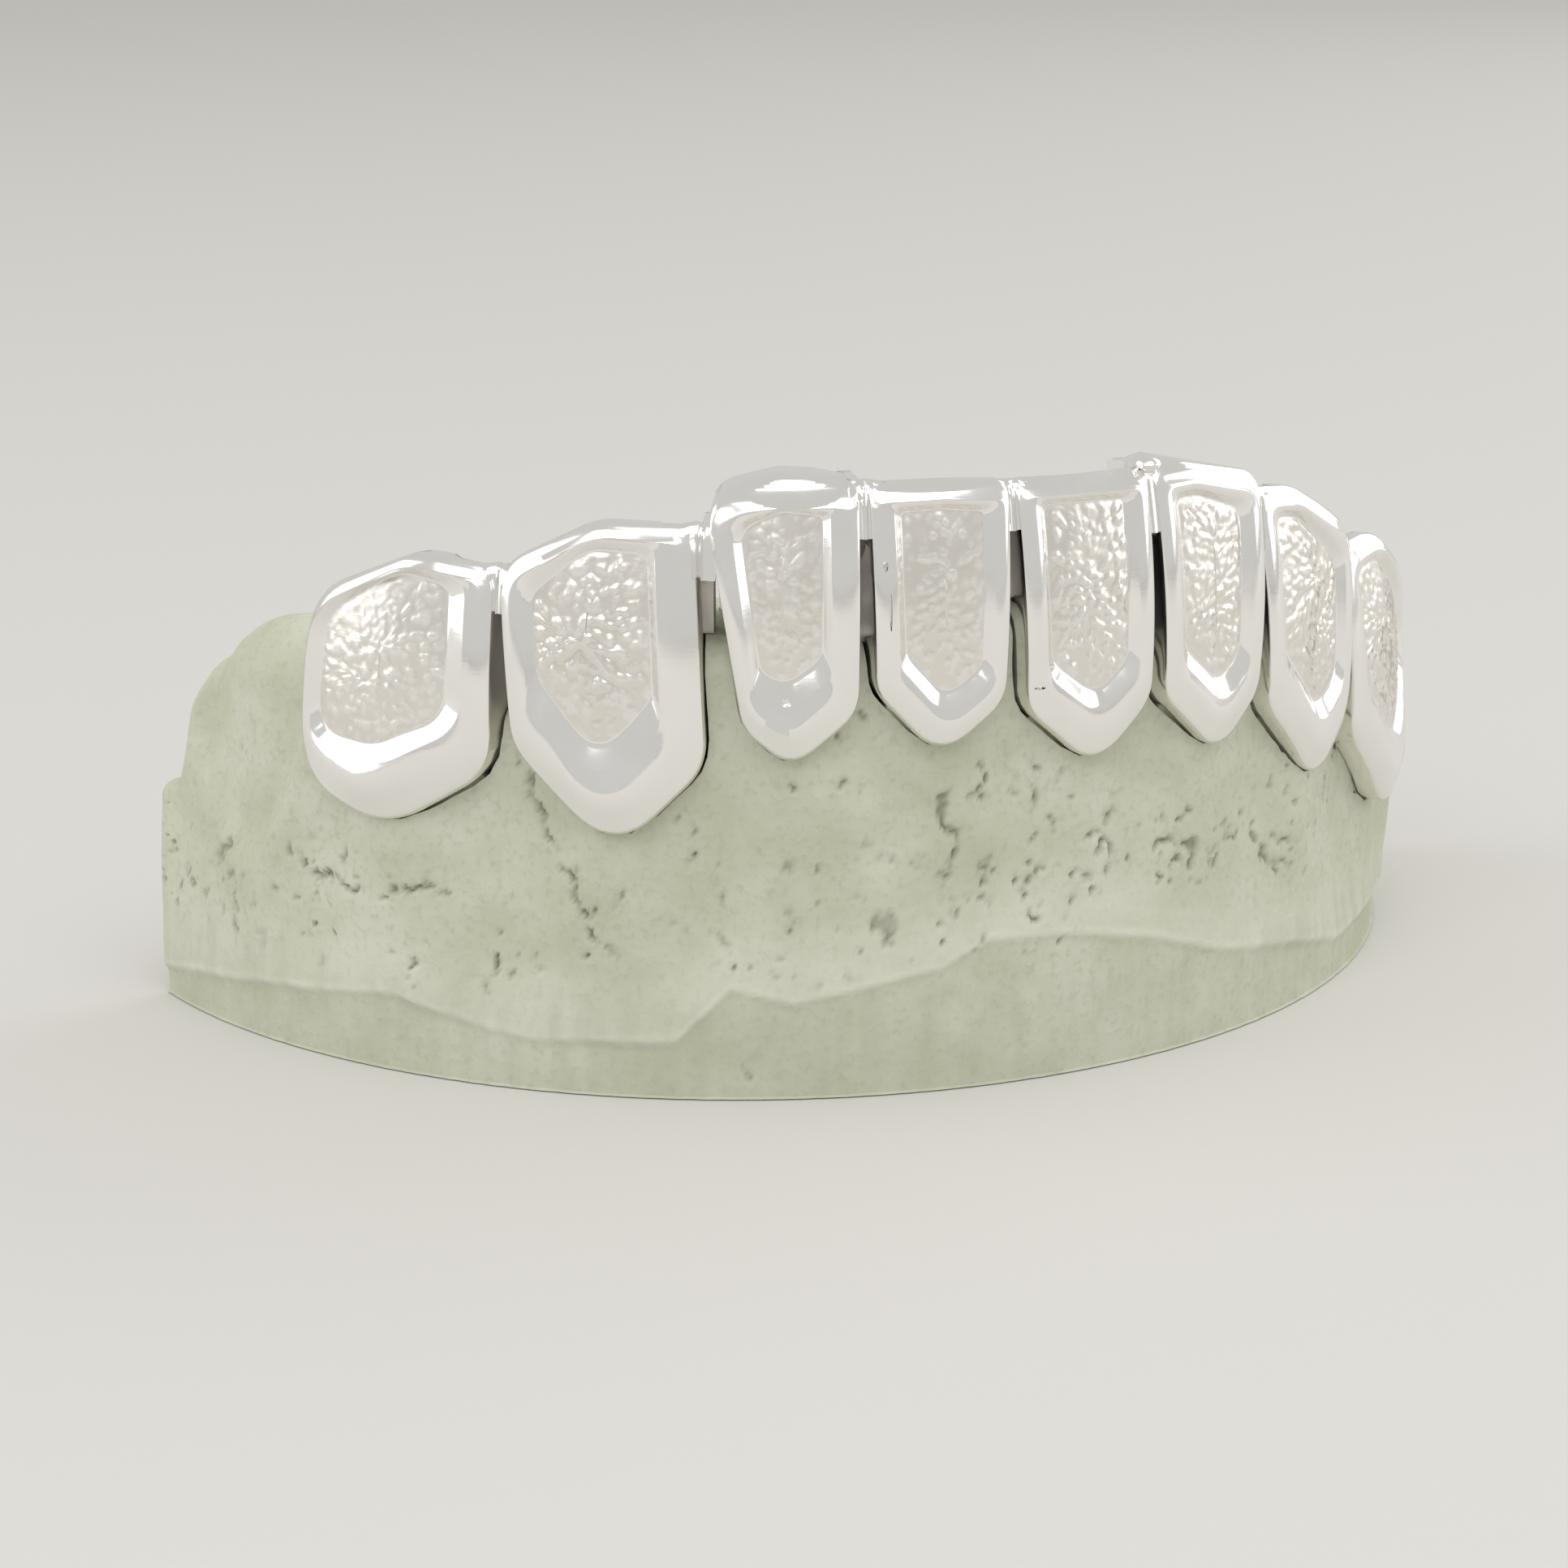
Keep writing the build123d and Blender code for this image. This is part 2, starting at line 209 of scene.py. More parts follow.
def shield(tooth, radius, left, right, gum, bite, deep=False, coarse=False):
    """Outline of a tooth at a radius of the arch, its four borders drawn in and its point then flatter."""
    half = half_width(tooth, radius)
    x_left, x_right = -half + left, half - right
    clear = x_right - x_left
    flatter = 0.25 * min(max(gum, 0), 2)
    low_left = (x_left + tooth.draw_left * clear, height(tooth.low_left) + gum - flatter)
    low_right = (x_right - tooth.draw_right * clear, height(tooth.low_right) + gum - flatter)
    tip = (x_left + tooth.tip_at * clear, height(tooth.tip) + gum + flatter)
    if deep:
        low_left = (low_left[0], STUMP_FOOT)
        low_right = (low_right[0], STUMP_FOOT)
        tip = ((low_left[0] + low_right[0]) / 2, STUMP_FOOT - SLIT)
    corners = [
        low_left,
        tip,
        low_right,
        (x_right, height(tooth.top_right) - bite),
        (x_left + tooth.crest_at * clear, height(tooth.crest) - bite),
        (x_left, height(tooth.top_left) - bite),
    ]
    shares = (LOW_ROUND, TIP_ROUND, LOW_ROUND, tooth.round_right, CREST_ROUND, tooth.round_left)
    radii = [share * clear for share in shares]
    if coarse:
        return rounded_loop(corners, radii, COARSE_ARC_POINTS, COARSE_SIDE_POINTS)
    return rounded_loop(corners, radii, ARC_POINTS, SIDE_POINTS)


# Kinds of node that are used most
MATH, VECTOR, RANGE, NOISE = "ShaderNodeMath", "ShaderNodeVectorMath", "ShaderNodeMapRange", "ShaderNodeTexNoise"


def add_node(tree, kind, inputs=None, **settings):
    """Add a node with its settings, and link or set its inputs. A node given to one links its first output."""
    node = tree.nodes.new(kind)
    for name, value in settings.items():
        setattr(node, name, value)
    for name, value in (inputs or {}).items():
        if isinstance(value, bpy.types.Node):
            value = value.outputs[0]
        if isinstance(value, bpy.types.NodeSocket):
            tree.links.new(value, node.inputs[name])
        else:
            node.inputs[name].default_value = value
    return node


def begin_tree(name, sizes):
    """Geometry Nodes tree with an input for each size, with the call that adds its nodes and its inputs' values."""
    tree = bpy.data.node_groups.new(name, "GeometryNodeTree")
    tree.interface.new_socket("Geometry", in_out="INPUT", socket_type="NodeSocketGeometry")
    for size in sizes:
        tree.interface.new_socket(size, in_out="INPUT", socket_type="NodeSocketFloat").subtype = "DISTANCE"
    tree.interface.new_socket("Geometry", in_out="OUTPUT", socket_type="NodeSocketGeometry")
    add = partial(add_node, tree)
    return tree, add, add("NodeGroupInput").outputs


def begin_material(name):
    """Empty material, with the call that adds its nodes and the place that its patterns follow."""
    material = bpy.data.materials.new(name)
    material.use_nodes = True
    material.node_tree.nodes.clear()
    add = partial(add_node, material.node_tree)
    return material, add, add("ShaderNodeTexCoord").outputs["Object"]


def stray_cells(add, place, spacing, detail):
    """Scale of a pattern of cells at a spacing, the noise that bends it and the places that it moves."""
    scale = add(MATH, {0: 1.0, 1: spacing}, operation="DIVIDE")
    warp = add(NOISE, {"Vector": place, "Scale": scale, "Detail": detail})
    bend = add(VECTOR, {0: warp.outputs["Color"], 1: (0.5, 0.5, 0.5)}, operation="SUBTRACT")
    stray = add(VECTOR, {0: bend, "Scale": spacing}, operation="SCALE")
    return scale, warp, add(VECTOR, {0: place, 1: stray}, operation="ADD")


def linear(hex_colour):
    """Linear colour of an sRGB hex value such as 'E8E4DC'."""
    channels = [int(hex_colour[i:i + 2], 16) / 255 for i in (0, 2, 4)]
    return [c / 12.92 if c <= 0.04045 else ((c + 0.055) / 1.055) ** 2.4 for c in channels] + [1.0]


def middle(tooth):
    """Angle of a tooth's middle line."""
    return (tooth.start + tooth.stop) / 2


def on_arch(angle, across, level, radius):
    """Points, in metres, of places across an upright plane that faces outwards at an angle of the arch."""
    turn = radians(angle)
    x = radius * sin(turn) + across * cos(turn)
    y = ARCH_CENTRE - radius * cos(turn) + across * sin(turn)
    return np.stack([x, y, level + 0 * x], axis=1) * MM


def face_radius(tooth, across, level, front=0):
    """Arch radius of a tooth's outer face, drawn in by front, at places across it and heights."""
    below = height(tooth.tip) - OVERRUN
    above = height(tooth.crest) + OVERRUN
    belly = below + BELLY_SHARE * (above - below)
    at_gum = TUCK_GUM * (level - belly) * (level - above) / ((below - belly) * (below - above))
    at_bite = TUCK_BITE * (level - belly) * (level - below) / ((above - belly) * (above - below))
    curve = tooth.kind.curve * ARCH_RADIUS
    reach = curve - at_gum - at_bite - front
    return ARCH_RADIUS + tooth.proud - curve + np.sqrt(np.maximum(reach**2 - across**2, 1))


def outlines(tooth, side, gum, top, **form):
    """Outline at the arch radius, the one behind it, and how the first moves while its top sinks by 1 mm."""
    near, far, lower = [
        shield(tooth, radius, side, side, gum, bite, **form)
        for radius, bite in ((ARCH_RADIUS, top), (ARCH_RADIUS - BEHIND, top), (ARCH_RADIUS, top + 1))
    ]
    return near, far, lower - near


def between(near, far, radius):
    """Places of an outline at radii of the arch, from the two that were drawn."""
    return near + (far - near) * ((ARCH_RADIUS - radius) / BEHIND)[:, None]


def on_face(tooth, near, far, front=0, depth=0):
    """Places and radii where an outline meets the outer face, drawn in by front and sunk by a depth."""
    radius = np.full(len(near), ARCH_RADIUS)
    for _ in range(5):
        place = between(near, far, radius)
        radius = face_radius(tooth, place[:, 0], place[:, 1], front) - depth
    return place, radius


def tongue_lines(kind, skin=0):
    """Arch radii of a tooth's tongue face and of the back of its biting edge, inside a skin."""
    last = ARCH_RADIUS - kind.depth * CROWN_DEPTH + skin
    return last, ARCH_RADIUS - TUCK_BITE - kind.edge * CROWN_DEPTH + skin


def top_fall(kind, radius, edge, last):
    """How far the top has fallen from the biting edge, at radii of the arch."""
    return kind.slope * CROWN_LENGTH * np.clip((edge - radius) / (edge - last), 0, 1) ** kind.fall


def soft_min(a, b, blend):
    """Smaller of two values, with the crossing rounded over a blend."""
    share = np.clip(0.5 + 0.5 * (b - a) / blend, 0, 1)
    return b + (a - b) * share - blend * share * (1 - share)


def ground(tooth, finish, across, level, radius):
    """Heights of a cap's surface after the slopes of its finish are ground off the biting edge."""
    for start, rise, blend, follows in finish.grind:
        depth = ARCH_RADIUS - radius - follows * across**2 / (2 * tooth.kind.curve * ARCH_RADIUS)
        level = soft_min(level, start + rise * depth, blend)
    return level


def loop_halves(count, arc_points, side_points):
    """Indices of a loop's right and left halves, both from its tip to its crest."""
    start = arc_points + side_points[0] + arc_points // 2
    steps = np.arange(count // 2)
    return start + steps, (start - 1 - steps) % count


def stack_faces(loops, count, halves):
    """Quads of a closed body made of equal loops, whose first and last are closed from half to half."""
    here = np.arange(count)
    after = (here + 1) % count
    quads = []
    for k in range(loops - 1):
        a, b = k * count, (k + 1) * count
        quads.append(np.stack([a + here, b + here, b + after, a + after], axis=1))
    right, left = halves
    front = np.stack([left[:-1], right[:-1], right[1:], left[1:]], axis=1)
    quads.insert(0, front)
    quads.append(front[:, ::-1] + (loops - 1) * count)
    return np.concatenate(quads)


def places_of(items, field):
    """Coordinates of a mesh's points or faces, in millimetres."""
    places = np.empty(len(items) * 3)
    items.foreach_get(field, places)
    return places.reshape(-1, 3).T / MM


def keep_values(piece, name, values):
    """Keep a value for each point of a piece."""
    layer = piece.data.attributes.new(name, "FLOAT", "POINT")
    layer.data.foreach_set("value", values.astype(np.float32))


def new_object(name, points, quads, materials=()):
    """Mesh object from arrays of points and quads."""
    mesh = bpy.data.meshes.new(name)
    mesh.vertices.add(len(points))
    mesh.vertices.foreach_set("co", np.ascontiguousarray(points, np.float32).ravel())
    mesh.loops.add(quads.size)
    mesh.loops.foreach_set("vertex_index", np.ascontiguousarray(quads, np.int32).ravel())
    mesh.polygons.add(len(quads))
    mesh.polygons.foreach_set("loop_start", np.arange(0, quads.size, 4, dtype=np.int32))
    mesh.update(calc_edges=True)
    mesh.validate()
    for material in materials:
        mesh.materials.append(material)
    piece = bpy.data.objects.new(name, mesh)
    bpy.context.scene.collection.objects.link(piece)
    return piece


class Dressing:
    """Points, faces, grain and finish of several closed bodies, gathered for one mesh."""

    def __init__(self):
        self.points, self.quads, self.grain, self.windows = [], [], [], []
        self.count = 0

    def add(self, points, quads, grain=None, window=None):
        self.points.append(points)
        self.quads.append(quads + self.count)
        self.grain.append(np.zeros(len(points)) if grain is None else grain)
        self.windows.append(np.zeros(len(quads), int) if window is None else window)
        self.count += len(points)

    def build(self, name, materials=()):
        points, quads = np.concatenate(self.points), np.concatenate(self.quads)
        piece = new_object(name, points, quads, materials)
        keep_values(piece, "grain", np.concatenate(self.grain))
        piece.data.polygons.foreach_set("material_index", np.concatenate(self.windows).astype(np.int32))
        return piece


def flatten(piece):
    """Turn an object's modifiers into a plain mesh."""
    shape = piece.evaluated_get(bpy.context.evaluated_depsgraph_get())
    mesh = bpy.data.meshes.new_from_object(shape)
    old = piece.data
    piece.modifiers.clear()
    piece.data = mesh
    bpy.data.meshes.remove(old)
    mesh.name = piece.name


def combine(piece, other, operation):
    """Join another closed body to a piece, or cut it out, and remove the other."""
    cut = piece.modifiers.new("combine", "BOOLEAN")
    cut.object = other
    cut.operation = operation
    cut.solver = "MANIFOLD"
    bpy.context.view_layer.update()
    flatten(piece)
    bpy.data.objects.remove(other)


def apply_tree(piece, tree, values):
    """Run a node tree over a piece with its inputs set by name, and keep the result as a plain mesh."""
    modifier = piece.modifiers.new(tree.name, "NODES")
    modifier.node_group = tree
    for item in tree.interface.items_tree:
        if item.item_type == "SOCKET" and item.in_out == "INPUT" and item.name in values:
            modifier[item.identifier] = values[item.name]
    bpy.context.view_layer.update()
    flatten(piece)


def smooth_by_angle(piece, degrees):
    """Shade smooth, with edges sharper than an angle kept crisp."""
    piece.data.shade_smooth()
    piece.data.set_sharp_from_angle(angle=radians(degrees))


# Loops of a cap, from the window outwards and back to the tongue. On the slope from floor to frame, shares
# of its width and rise; across the frame, shares of its width from the edge; round the edge, degrees;
# then shares of the side's depth, of the rounding behind it and of the way to the middle of the tongue face
BEVEL_STEPS = ((0.10, 0.03), (0.22, 0.16), (0.80, 0.86), (0.92, 0.97), (1.0, 1.0))
FRAME_STEPS = (0.92, 0.75, 0.5, 0.25, 0.0)
EDGE_STEPS = (18, 36, 54, 72, 90)
SIDE_STEPS = (0.06, 0.15, 0.28, 0.42, 0.56, 0.7, 0.84, 0.94)
CORNER_STEPS = (0.25, 0.6, 1.0)
TONGUE_STEPS = (0.25, 0.5, 0.75, 1.0)

# Rounding and bulge of the tongue face, and the half widths that the loops leave in its middle, with the
# rounding counted in, and in a window's middle
TONGUE_ROUND = 0.5
TONGUE_BULGE = 0.15
TONGUE_CORE = 0.512
WINDOW_CORE = 0.04

# The keel fades out over this height and this share of the half width, and the grain over so many loops at
# the window's rim
KEEL_HEIGHT = 1.2
KEEL_SPREAD = 0.75
GRAIN_FADE = 3


class CapForm:
    """Shape of one cap as a stack of loops, from the middle of its window to the middle of its back."""

    def __init__(self, tooth, finish, silver):
        self.tooth, self.finish, self.silver = tooth, finish, silver
        self.loops, self.grain = [], []
        self.floor_loops = 0

    def ring(self, borders, depth, keel=0.0, shrink=0.0):
        """Loop at borders inside the outline, shrunk towards its middle, a depth below the outer face."""
        tooth, finish = self.tooth, self.finish
        near, far = [
            shield(tooth, at, *(borders + shrink * (half_width(tooth, at) - sum(borders[:2]) / 2 - WINDOW_CORE)))
            for at in (ARCH_RADIUS, ARCH_RADIUS - BEHIND)
        ]
        place, radius = on_face(tooth, near, far, depth=depth)
        if keel:
            half = half_width(tooth, ARCH_RADIUS)
            line = -half + 2 * half * finish.keel[0]
            low = height(min(tooth.low_left, tooth.low_right)) + borders[2]
            fade = np.clip((low + KEEL_HEIGHT - place[:, 1]) / KEEL_HEIGHT, 0, 1)
            radius = radius + keel * fade * np.clip(1 - abs(place[:, 0] - line) / (KEEL_SPREAD * half), 0, 1)
        return place[:, 0], ground(tooth, finish, place[:, 0], place[:, 1], radius), radius

    def keep(self, ring, grain=0.0):
        across, level, radius = ring
        self.loops.append(on_arch(middle(self.tooth), across, level, radius))
        self.grain.append(np.full(len(across), grain))

    def front(self):
        """Window floor, its bevel, the polished frame and the rounded outer edge."""
        finish, silver = self.finish, self.silver
        rim, bevel = np.array(finish[:4]), np.array(finish.bevel)
        half = half_width(self.tooth, ARCH_RADIUS)
        clear = half - (rim[0] + rim[1] + bevel[0] + bevel[1]) / 2
        steps = int(np.ceil(clear / silver.grain_step))
        for k in range(steps + 1):
            floor = self.ring(rim + bevel, silver.window_sink, shrink=1 - k / steps)
            self.keep(floor, finish.grain * min(1, (steps - k) / GRAIN_FADE))
        self.floor_loops = len(self.loops)
        for share, rise in BEVEL_STEPS:
            self.keep(self.ring(rim + bevel * (1 - share), silver.window_sink * (1 - rise)))
        edges = np.array((silver.slit_round, silver.slit_round, silver.edge_round, silver.bite_round))
        for share in FRAME_STEPS:
            crown = silver.frame_crown * 4 * share * (1 - share)
            keel = finish.keel[1] * (1 - abs(2 * share - 1))
            self.keep(self.ring(edges + (rim - edges) * share, -crown, keel))
        for angle in EDGE_STEPS:
            turn = radians(angle)
            self.keep(self.ring(edges * (1 - sin(turn)), silver.edge_round * (1 - cos(turn))))

    def back(self):
        """Sides that narrow towards the tongue, and the plain tongue face."""
        _, _, radius = self.ring(np.zeros(4), self.silver.edge_round)
        last, edge = tongue_lines(self.tooth.kind)
        for share in SIDE_STEPS:
            self.keep(self.side_ring(radius + (last - radius) * share, edge, last, 0))
        for share in CORNER_STEPS:
            depth = np.full(len(radius), last + TONGUE_ROUND * (1 - sin(radians(90 * share))))
            self.keep(self.side_ring(depth, edge, last, TONGUE_ROUND * share**2))
        half = half_width(self.tooth, last)
        for share in TONGUE_STEPS:
            depth = np.full(len(radius), last - TONGUE_BULGE * sin(radians(90 * share)))
            self.keep(self.side_ring(depth, edge, last, TONGUE_ROUND + (half - TONGUE_CORE) * share))

    def side_ring(self, radius, edge, last, inset):
        """Loop behind the outer edge, its top lowered towards the tongue."""
        near, far, drop = outlines(self.tooth, inset, inset, inset)
        place = between(near, far, radius) + drop * top_fall(self.tooth.kind, radius, edge, last)[:, None]
        return place[:, 0], ground(self.tooth, self.finish, place[:, 0], place[:, 1], radius), radius

    def add_to(self, dressing):
        self.front()
        self.back()
        count = len(self.loops[0])
        quads = stack_faces(len(self.loops), count, loop_halves(count, ARC_POINTS, SIDE_POINTS))
        window = np.zeros(len(quads), int)
        window[:count // 2 - 1 + (self.floor_loops - 1) * count] = 1
        dressing.add(np.concatenate(self.loops), quads, np.concatenate(self.grain), window)


# Loops of a plain crown: shares of the way from its outline in to the middle of its face, then of its depth
CROWN_FRONT_STEPS = (1.0, 0.7, 0.4, 0.2)
CROWN_SIDE_STEPS = (0, 0.15, 0.3, 0.45, 0.6, 0.8, 1.0)
CROWN_CORE = 0.01      # half width left in the middle of its face and of its tongue side


def crown_body(tooth, front, side, back, top, gum, deep, dressing):
    """Plain crown inside a skin, such as a cap's hollow, its seat in the stone or the tooth inside it."""
    last, edge = tongue_lines(tooth.kind, back)
    near, far, drop = outlines(tooth, side, gum, top, deep=deep, coarse=True)
    outer = on_face(tooth, near, far, front)[1]
    half = half_width(tooth, ARCH_RADIUS) - side
    loops = []
    for share in CROWN_FRONT_STEPS:
        inset = (half - CROWN_CORE) * share
        inner = shield(tooth, ARCH_RADIUS, side + inset, side + inset, gum + inset, top + inset, deep, coarse=True)
        loops.append((inner[:, 0], inner[:, 1], face_radius(tooth, inner[:, 0], inner[:, 1], front)))
    for share in CROWN_SIDE_STEPS:
        radius = outer + (last - outer) * share
        place = between(near, far, radius) + drop * top_fall(tooth.kind, radius, edge, last)[:, None]
        loops.append((place[:, 0], place[:, 1], radius))
    across, level, radius = loops[-1]
    middle_x = across.mean()
    middle_z = (level.max() + level.min()) / 2
    right, left = loop_halves(len(across), COARSE_ARC_POINTS, COARSE_SIDE_POINTS)
    thin, flat = across.copy(), level.copy()
    thin[right] = middle_x + CROWN_CORE
    thin[left] = middle_x - CROWN_CORE
    flat[right] = flat[left] = np.linspace(middle_z - 1, middle_z + 1, len(right))
    loops.append((thin, flat, radius))
    points = np.concatenate([on_arch(middle(tooth), *loop) for loop in loops])
    quads = stack_faces(len(loops), len(near), (right, left))
    dressing.add(points, quads)


def crown_bodies(front, side, back, top, gum, deep):
    """Plain crowns of all the capped teeth inside one skin."""
    bodies = Dressing()
    for tooth in TEETH:
        crown_body(tooth, front, side, back, top, gum, deep, bodies)
    return bodies


class Joint(NamedTuple):
    """Solder joint between two caps: a saddle above the slit and a web behind it."""

    foot: float         # heights above the gum line, in crown lengths
    top: float
    web_foot: float


# From left to right
JOINTS = [
    Joint(0.50, 0.66, 0.14),
    Joint(0.65, 0.83, 0.42),
    Joint(0.78, 0.968, 0.38),
    Joint(0.78, 0.945, 0.50),
    Joint(0.72, 0.94, 0.31),
    Joint(0.59, 0.80, 0.20),
    Joint(0.30, 0.54, 0.02),
]
# How far back a saddle reaches, and how far its cuts do that lie at least so far inside a cap's edge
JOINT_BACK = 3.2
JOINT_SHORT = 1.55
SHORT_FROM = 0.4

# Its top runs over to the cap's line on this distance inside the edge, and ends this far under it. Its cuts
# follow the slopes ground off the cap from this distance on
SADDLE_RUN = 0.9
SADDLE_SUNK = 0.04
GROUND_FROM = 0.2
WEB_SINK = 2.2
WEB_DEPTH = 1.1

# Cuts through one side of a saddle: distance inside the cap's edge and depth below its face
SADDLE_CUTS = ((1.2, 0.06), (0.9, 0.04), (0.6, 0.03), (0.35, 0.02), (0.18, 0.02), (0.07, 0.10), (-0.02, 0.10),
               (-0.08, 0.02))

# Knob of solder on the bar between the fifth and sixth caps: angle, height in crown lengths, depth behind
# the arch radius, radii across, up and in
KNOB = (11.9, 0.955, 1.1, (0.42, 0.24, 0.5))

# Casting pores and marks on the caps: angle, height, radii across, up and in
PORES = [
    (-22.8, 14.4, 0.13, 0.13, 0.14), (-18.5, 13.1, 0.16, 0.15, 0.14), (-16.4, 16.8, 0.10, 0.14, 0.12),
    (-11.1, 17.2, 0.10, 0.19, 0.24), (-30.8, 12.4, 0.12, 0.12, 0.14), (-43.8, 11.1, 0.11, 0.12, 0.12),
    (-10.75, 15.5, 0.06, 0.95, 0.15), (1.0, 13.1, 0.24, 0.07, 0.20), (-23.6, 16.2, 0.08, 0.08, 0.10),
]

# Hollow facet ground into the biting edge of the third cap by the rim of a wheel, cut as an ellipsoid:
# angle, height, radius of the arch, radii across, up and in
FACET = (-17.6, 20.85, 24.26, (4.9, 2.0, 2.0))


def pair_halves(count):
    """Indices of a loop's two halves, paired across it."""
    steps = np.arange(count // 2)
    return steps, count - 1 - steps


def add_blob(dressing, angle, level, radius, radii, turns=16, rows=8):
    """Closed rounded body at a place on the arch, with radii across, up and along the arch's radius."""
    loops = []
    around = (np.arange(turns) + 0.5) / turns * 2 * np.pi
    for lift in np.linspace(-0.5, 0.5, rows + 1) * np.pi:
        spread = max(cos(lift), 0.02)
        across = radii[0] * spread * np.cos(around)
        depth = radius + radii[2] * spread * np.sin(around)
        loops.append(on_arch(angle, across, level + radii[1] * sin(lift), depth))
    dressing.add(np.concatenate(loops), stack_faces(len(loops), turns, pair_halves(turns)))


def add_web(dressing, angle, levels, front, back):
    """Upright sheet behind a slit."""
    reach = SLIT / 2 + SIDE_WALL / 3
    across = np.linspace(-reach, reach, 5)
    face, rear = np.full(5, front), np.full(5, back)
    loops = [on_arch(angle, np.append(across, across[::-1]), level, np.append(face, rear))
             for level in np.linspace(*levels, 4)]
    dressing.add(np.concatenate(loops), stack_faces(len(loops), 10, pair_halves(10)))


def saddle_cut(tooth, finish, side, inside, sunk, joint, silver):
    """Outline of a saddle at a distance inside the edge of the cap on one side of it."""
    half = half_width(tooth, ARCH_RADIUS)
    corner = tooth.top_right if side > 0 else tooth.top_left
    run = 2 * half * ((1 - tooth.crest_at) if side > 0 else tooth.crest_at)
    line = height(corner + (tooth.crest - corner) * max(inside, 0) / run)
    blend = min(max(inside / SADDLE_RUN, 0), 1)
    blend = blend * blend * (3 - 2 * blend)
    top = height(joint.top) * (1 - blend) + (line - SADDLE_SUNK) * blend
    turn = np.radians(np.linspace(0, 90, 7))
    foot = height(joint.foot) if inside < SHORT_FROM else max(height(joint.foot), top - silver.bite_round - 0.1)
    level = np.concatenate([np.linspace(foot, top - silver.bite_round, 8)[:-1],
                            top - silver.bite_round * (1 - np.sin(turn))])
    depth = sunk + np.concatenate([np.zeros(7), silver.edge_round * (1 - np.cos(turn))])
    radius = np.full(len(level), ARCH_RADIUS)
    for _ in range(4):
        across = side * (half_width(tooth, radius) - inside)
        radius = face_radius(tooth, across, level) - depth
    last, edge = tongue_lines(tooth.kind)
    back = np.linspace(radius[-1], ARCH_RADIUS - (JOINT_BACK if inside < SHORT_FROM else JOINT_SHORT), 9)[1:]
    sink = top_fall(tooth.kind, back, edge, last)
    rear = np.full(6, back[-1])
    radius = np.concatenate([radius, back, rear])
    level = np.concatenate([level, top - sink, np.linspace(top - sink[-1], foot, 7)[1:]])
    across = side * (half_width(tooth, radius) - inside)
    if inside > GROUND_FROM:
        level = ground(tooth, finish, across, level, radius)
    return on_arch(middle(tooth), across, level, radius)


def add_joint(saddles, webs, pair, finishes, joint, silver):
    """Saddle that fills the notch above the slit between two caps, and the web that closes the slit behind."""
    left, right = [[saddle_cut(tooth, finish, side, *cut, joint, silver) for cut in SADDLE_CUTS]
                   for tooth, finish, side in zip(pair, finishes, (1, -1))]
    loops = left + [(left[-1] + right[-1]) / 2] + right[::-1]
    count = len(loops[0])
    saddles.add(np.concatenate(loops), stack_faces(len(loops), count, pair_halves(count)))
    front = ARCH_RADIUS - WEB_SINK
    add_web(webs, pair[0].stop, (height(joint.web_foot), height(joint.foot) + 0.4), front, front - WEB_DEPTH)


# Faces count as inside a saw cut this near to its middle at the web, within this of its walls elsewhere, this
# far behind the arch radius, and up to this much past the web's faces and the saddle's foot
CUT_AT_WEB = 0.6
CUT_WALL = 0.04
CUT_BEHIND = 0.45
CUT_OVER = 0.02


def dull_and_shade_cuts(casting, slot):
    """Give the faces inside the saw cuts a material slot of their own."""
    x, y, z = places_of(casting.data.polygons, "center")
    finish = np.empty(len(x), np.int32)
    casting.data.polygons.foreach_get("material_index", finish)
    for tooth, joint in zip(TEETH, JOINTS):
        turn = radians(tooth.stop)
        across = x * cos(turn) + (y - ARCH_CENTRE) * sin(turn)
        radius = x * sin(turn) - (y - ARCH_CENTRE) * cos(turn)
        web = abs(radius - ARCH_RADIUS + WEB_SINK + WEB_DEPTH / 2) < WEB_DEPTH / 2 + CUT_OVER
        inside = abs(across) < np.where(web, CUT_AT_WEB, SLIT / 2 + CUT_WALL)
        inside &= (radius < ARCH_RADIUS - CUT_BEHIND) & (radius > 0) & (z < height(joint.foot) + CUT_OVER)
        finish[inside] = slot
    casting.data.polygons.foreach_set("material_index", finish)


def face_outwards(piece):
    """Close a body's open ends, where it has them, and turn its faces outwards."""
    shell = bmesh.new()
    shell.from_mesh(piece.data)
    bmesh.ops.holes_fill(shell, edges=[edge for edge in shell.edges if edge.is_boundary], sides=0)
    bmesh.ops.recalc_face_normals(shell, faces=shell.faces)
    shell.to_mesh(piece.data)
    shell.free()


def merge(piece, name, bodies, operation, materials=()):
    """Join closed bodies to a piece, or cut them out of it."""
    other = bodies.build(name, materials)
    face_outwards(other)
    combine(piece, other, operation)


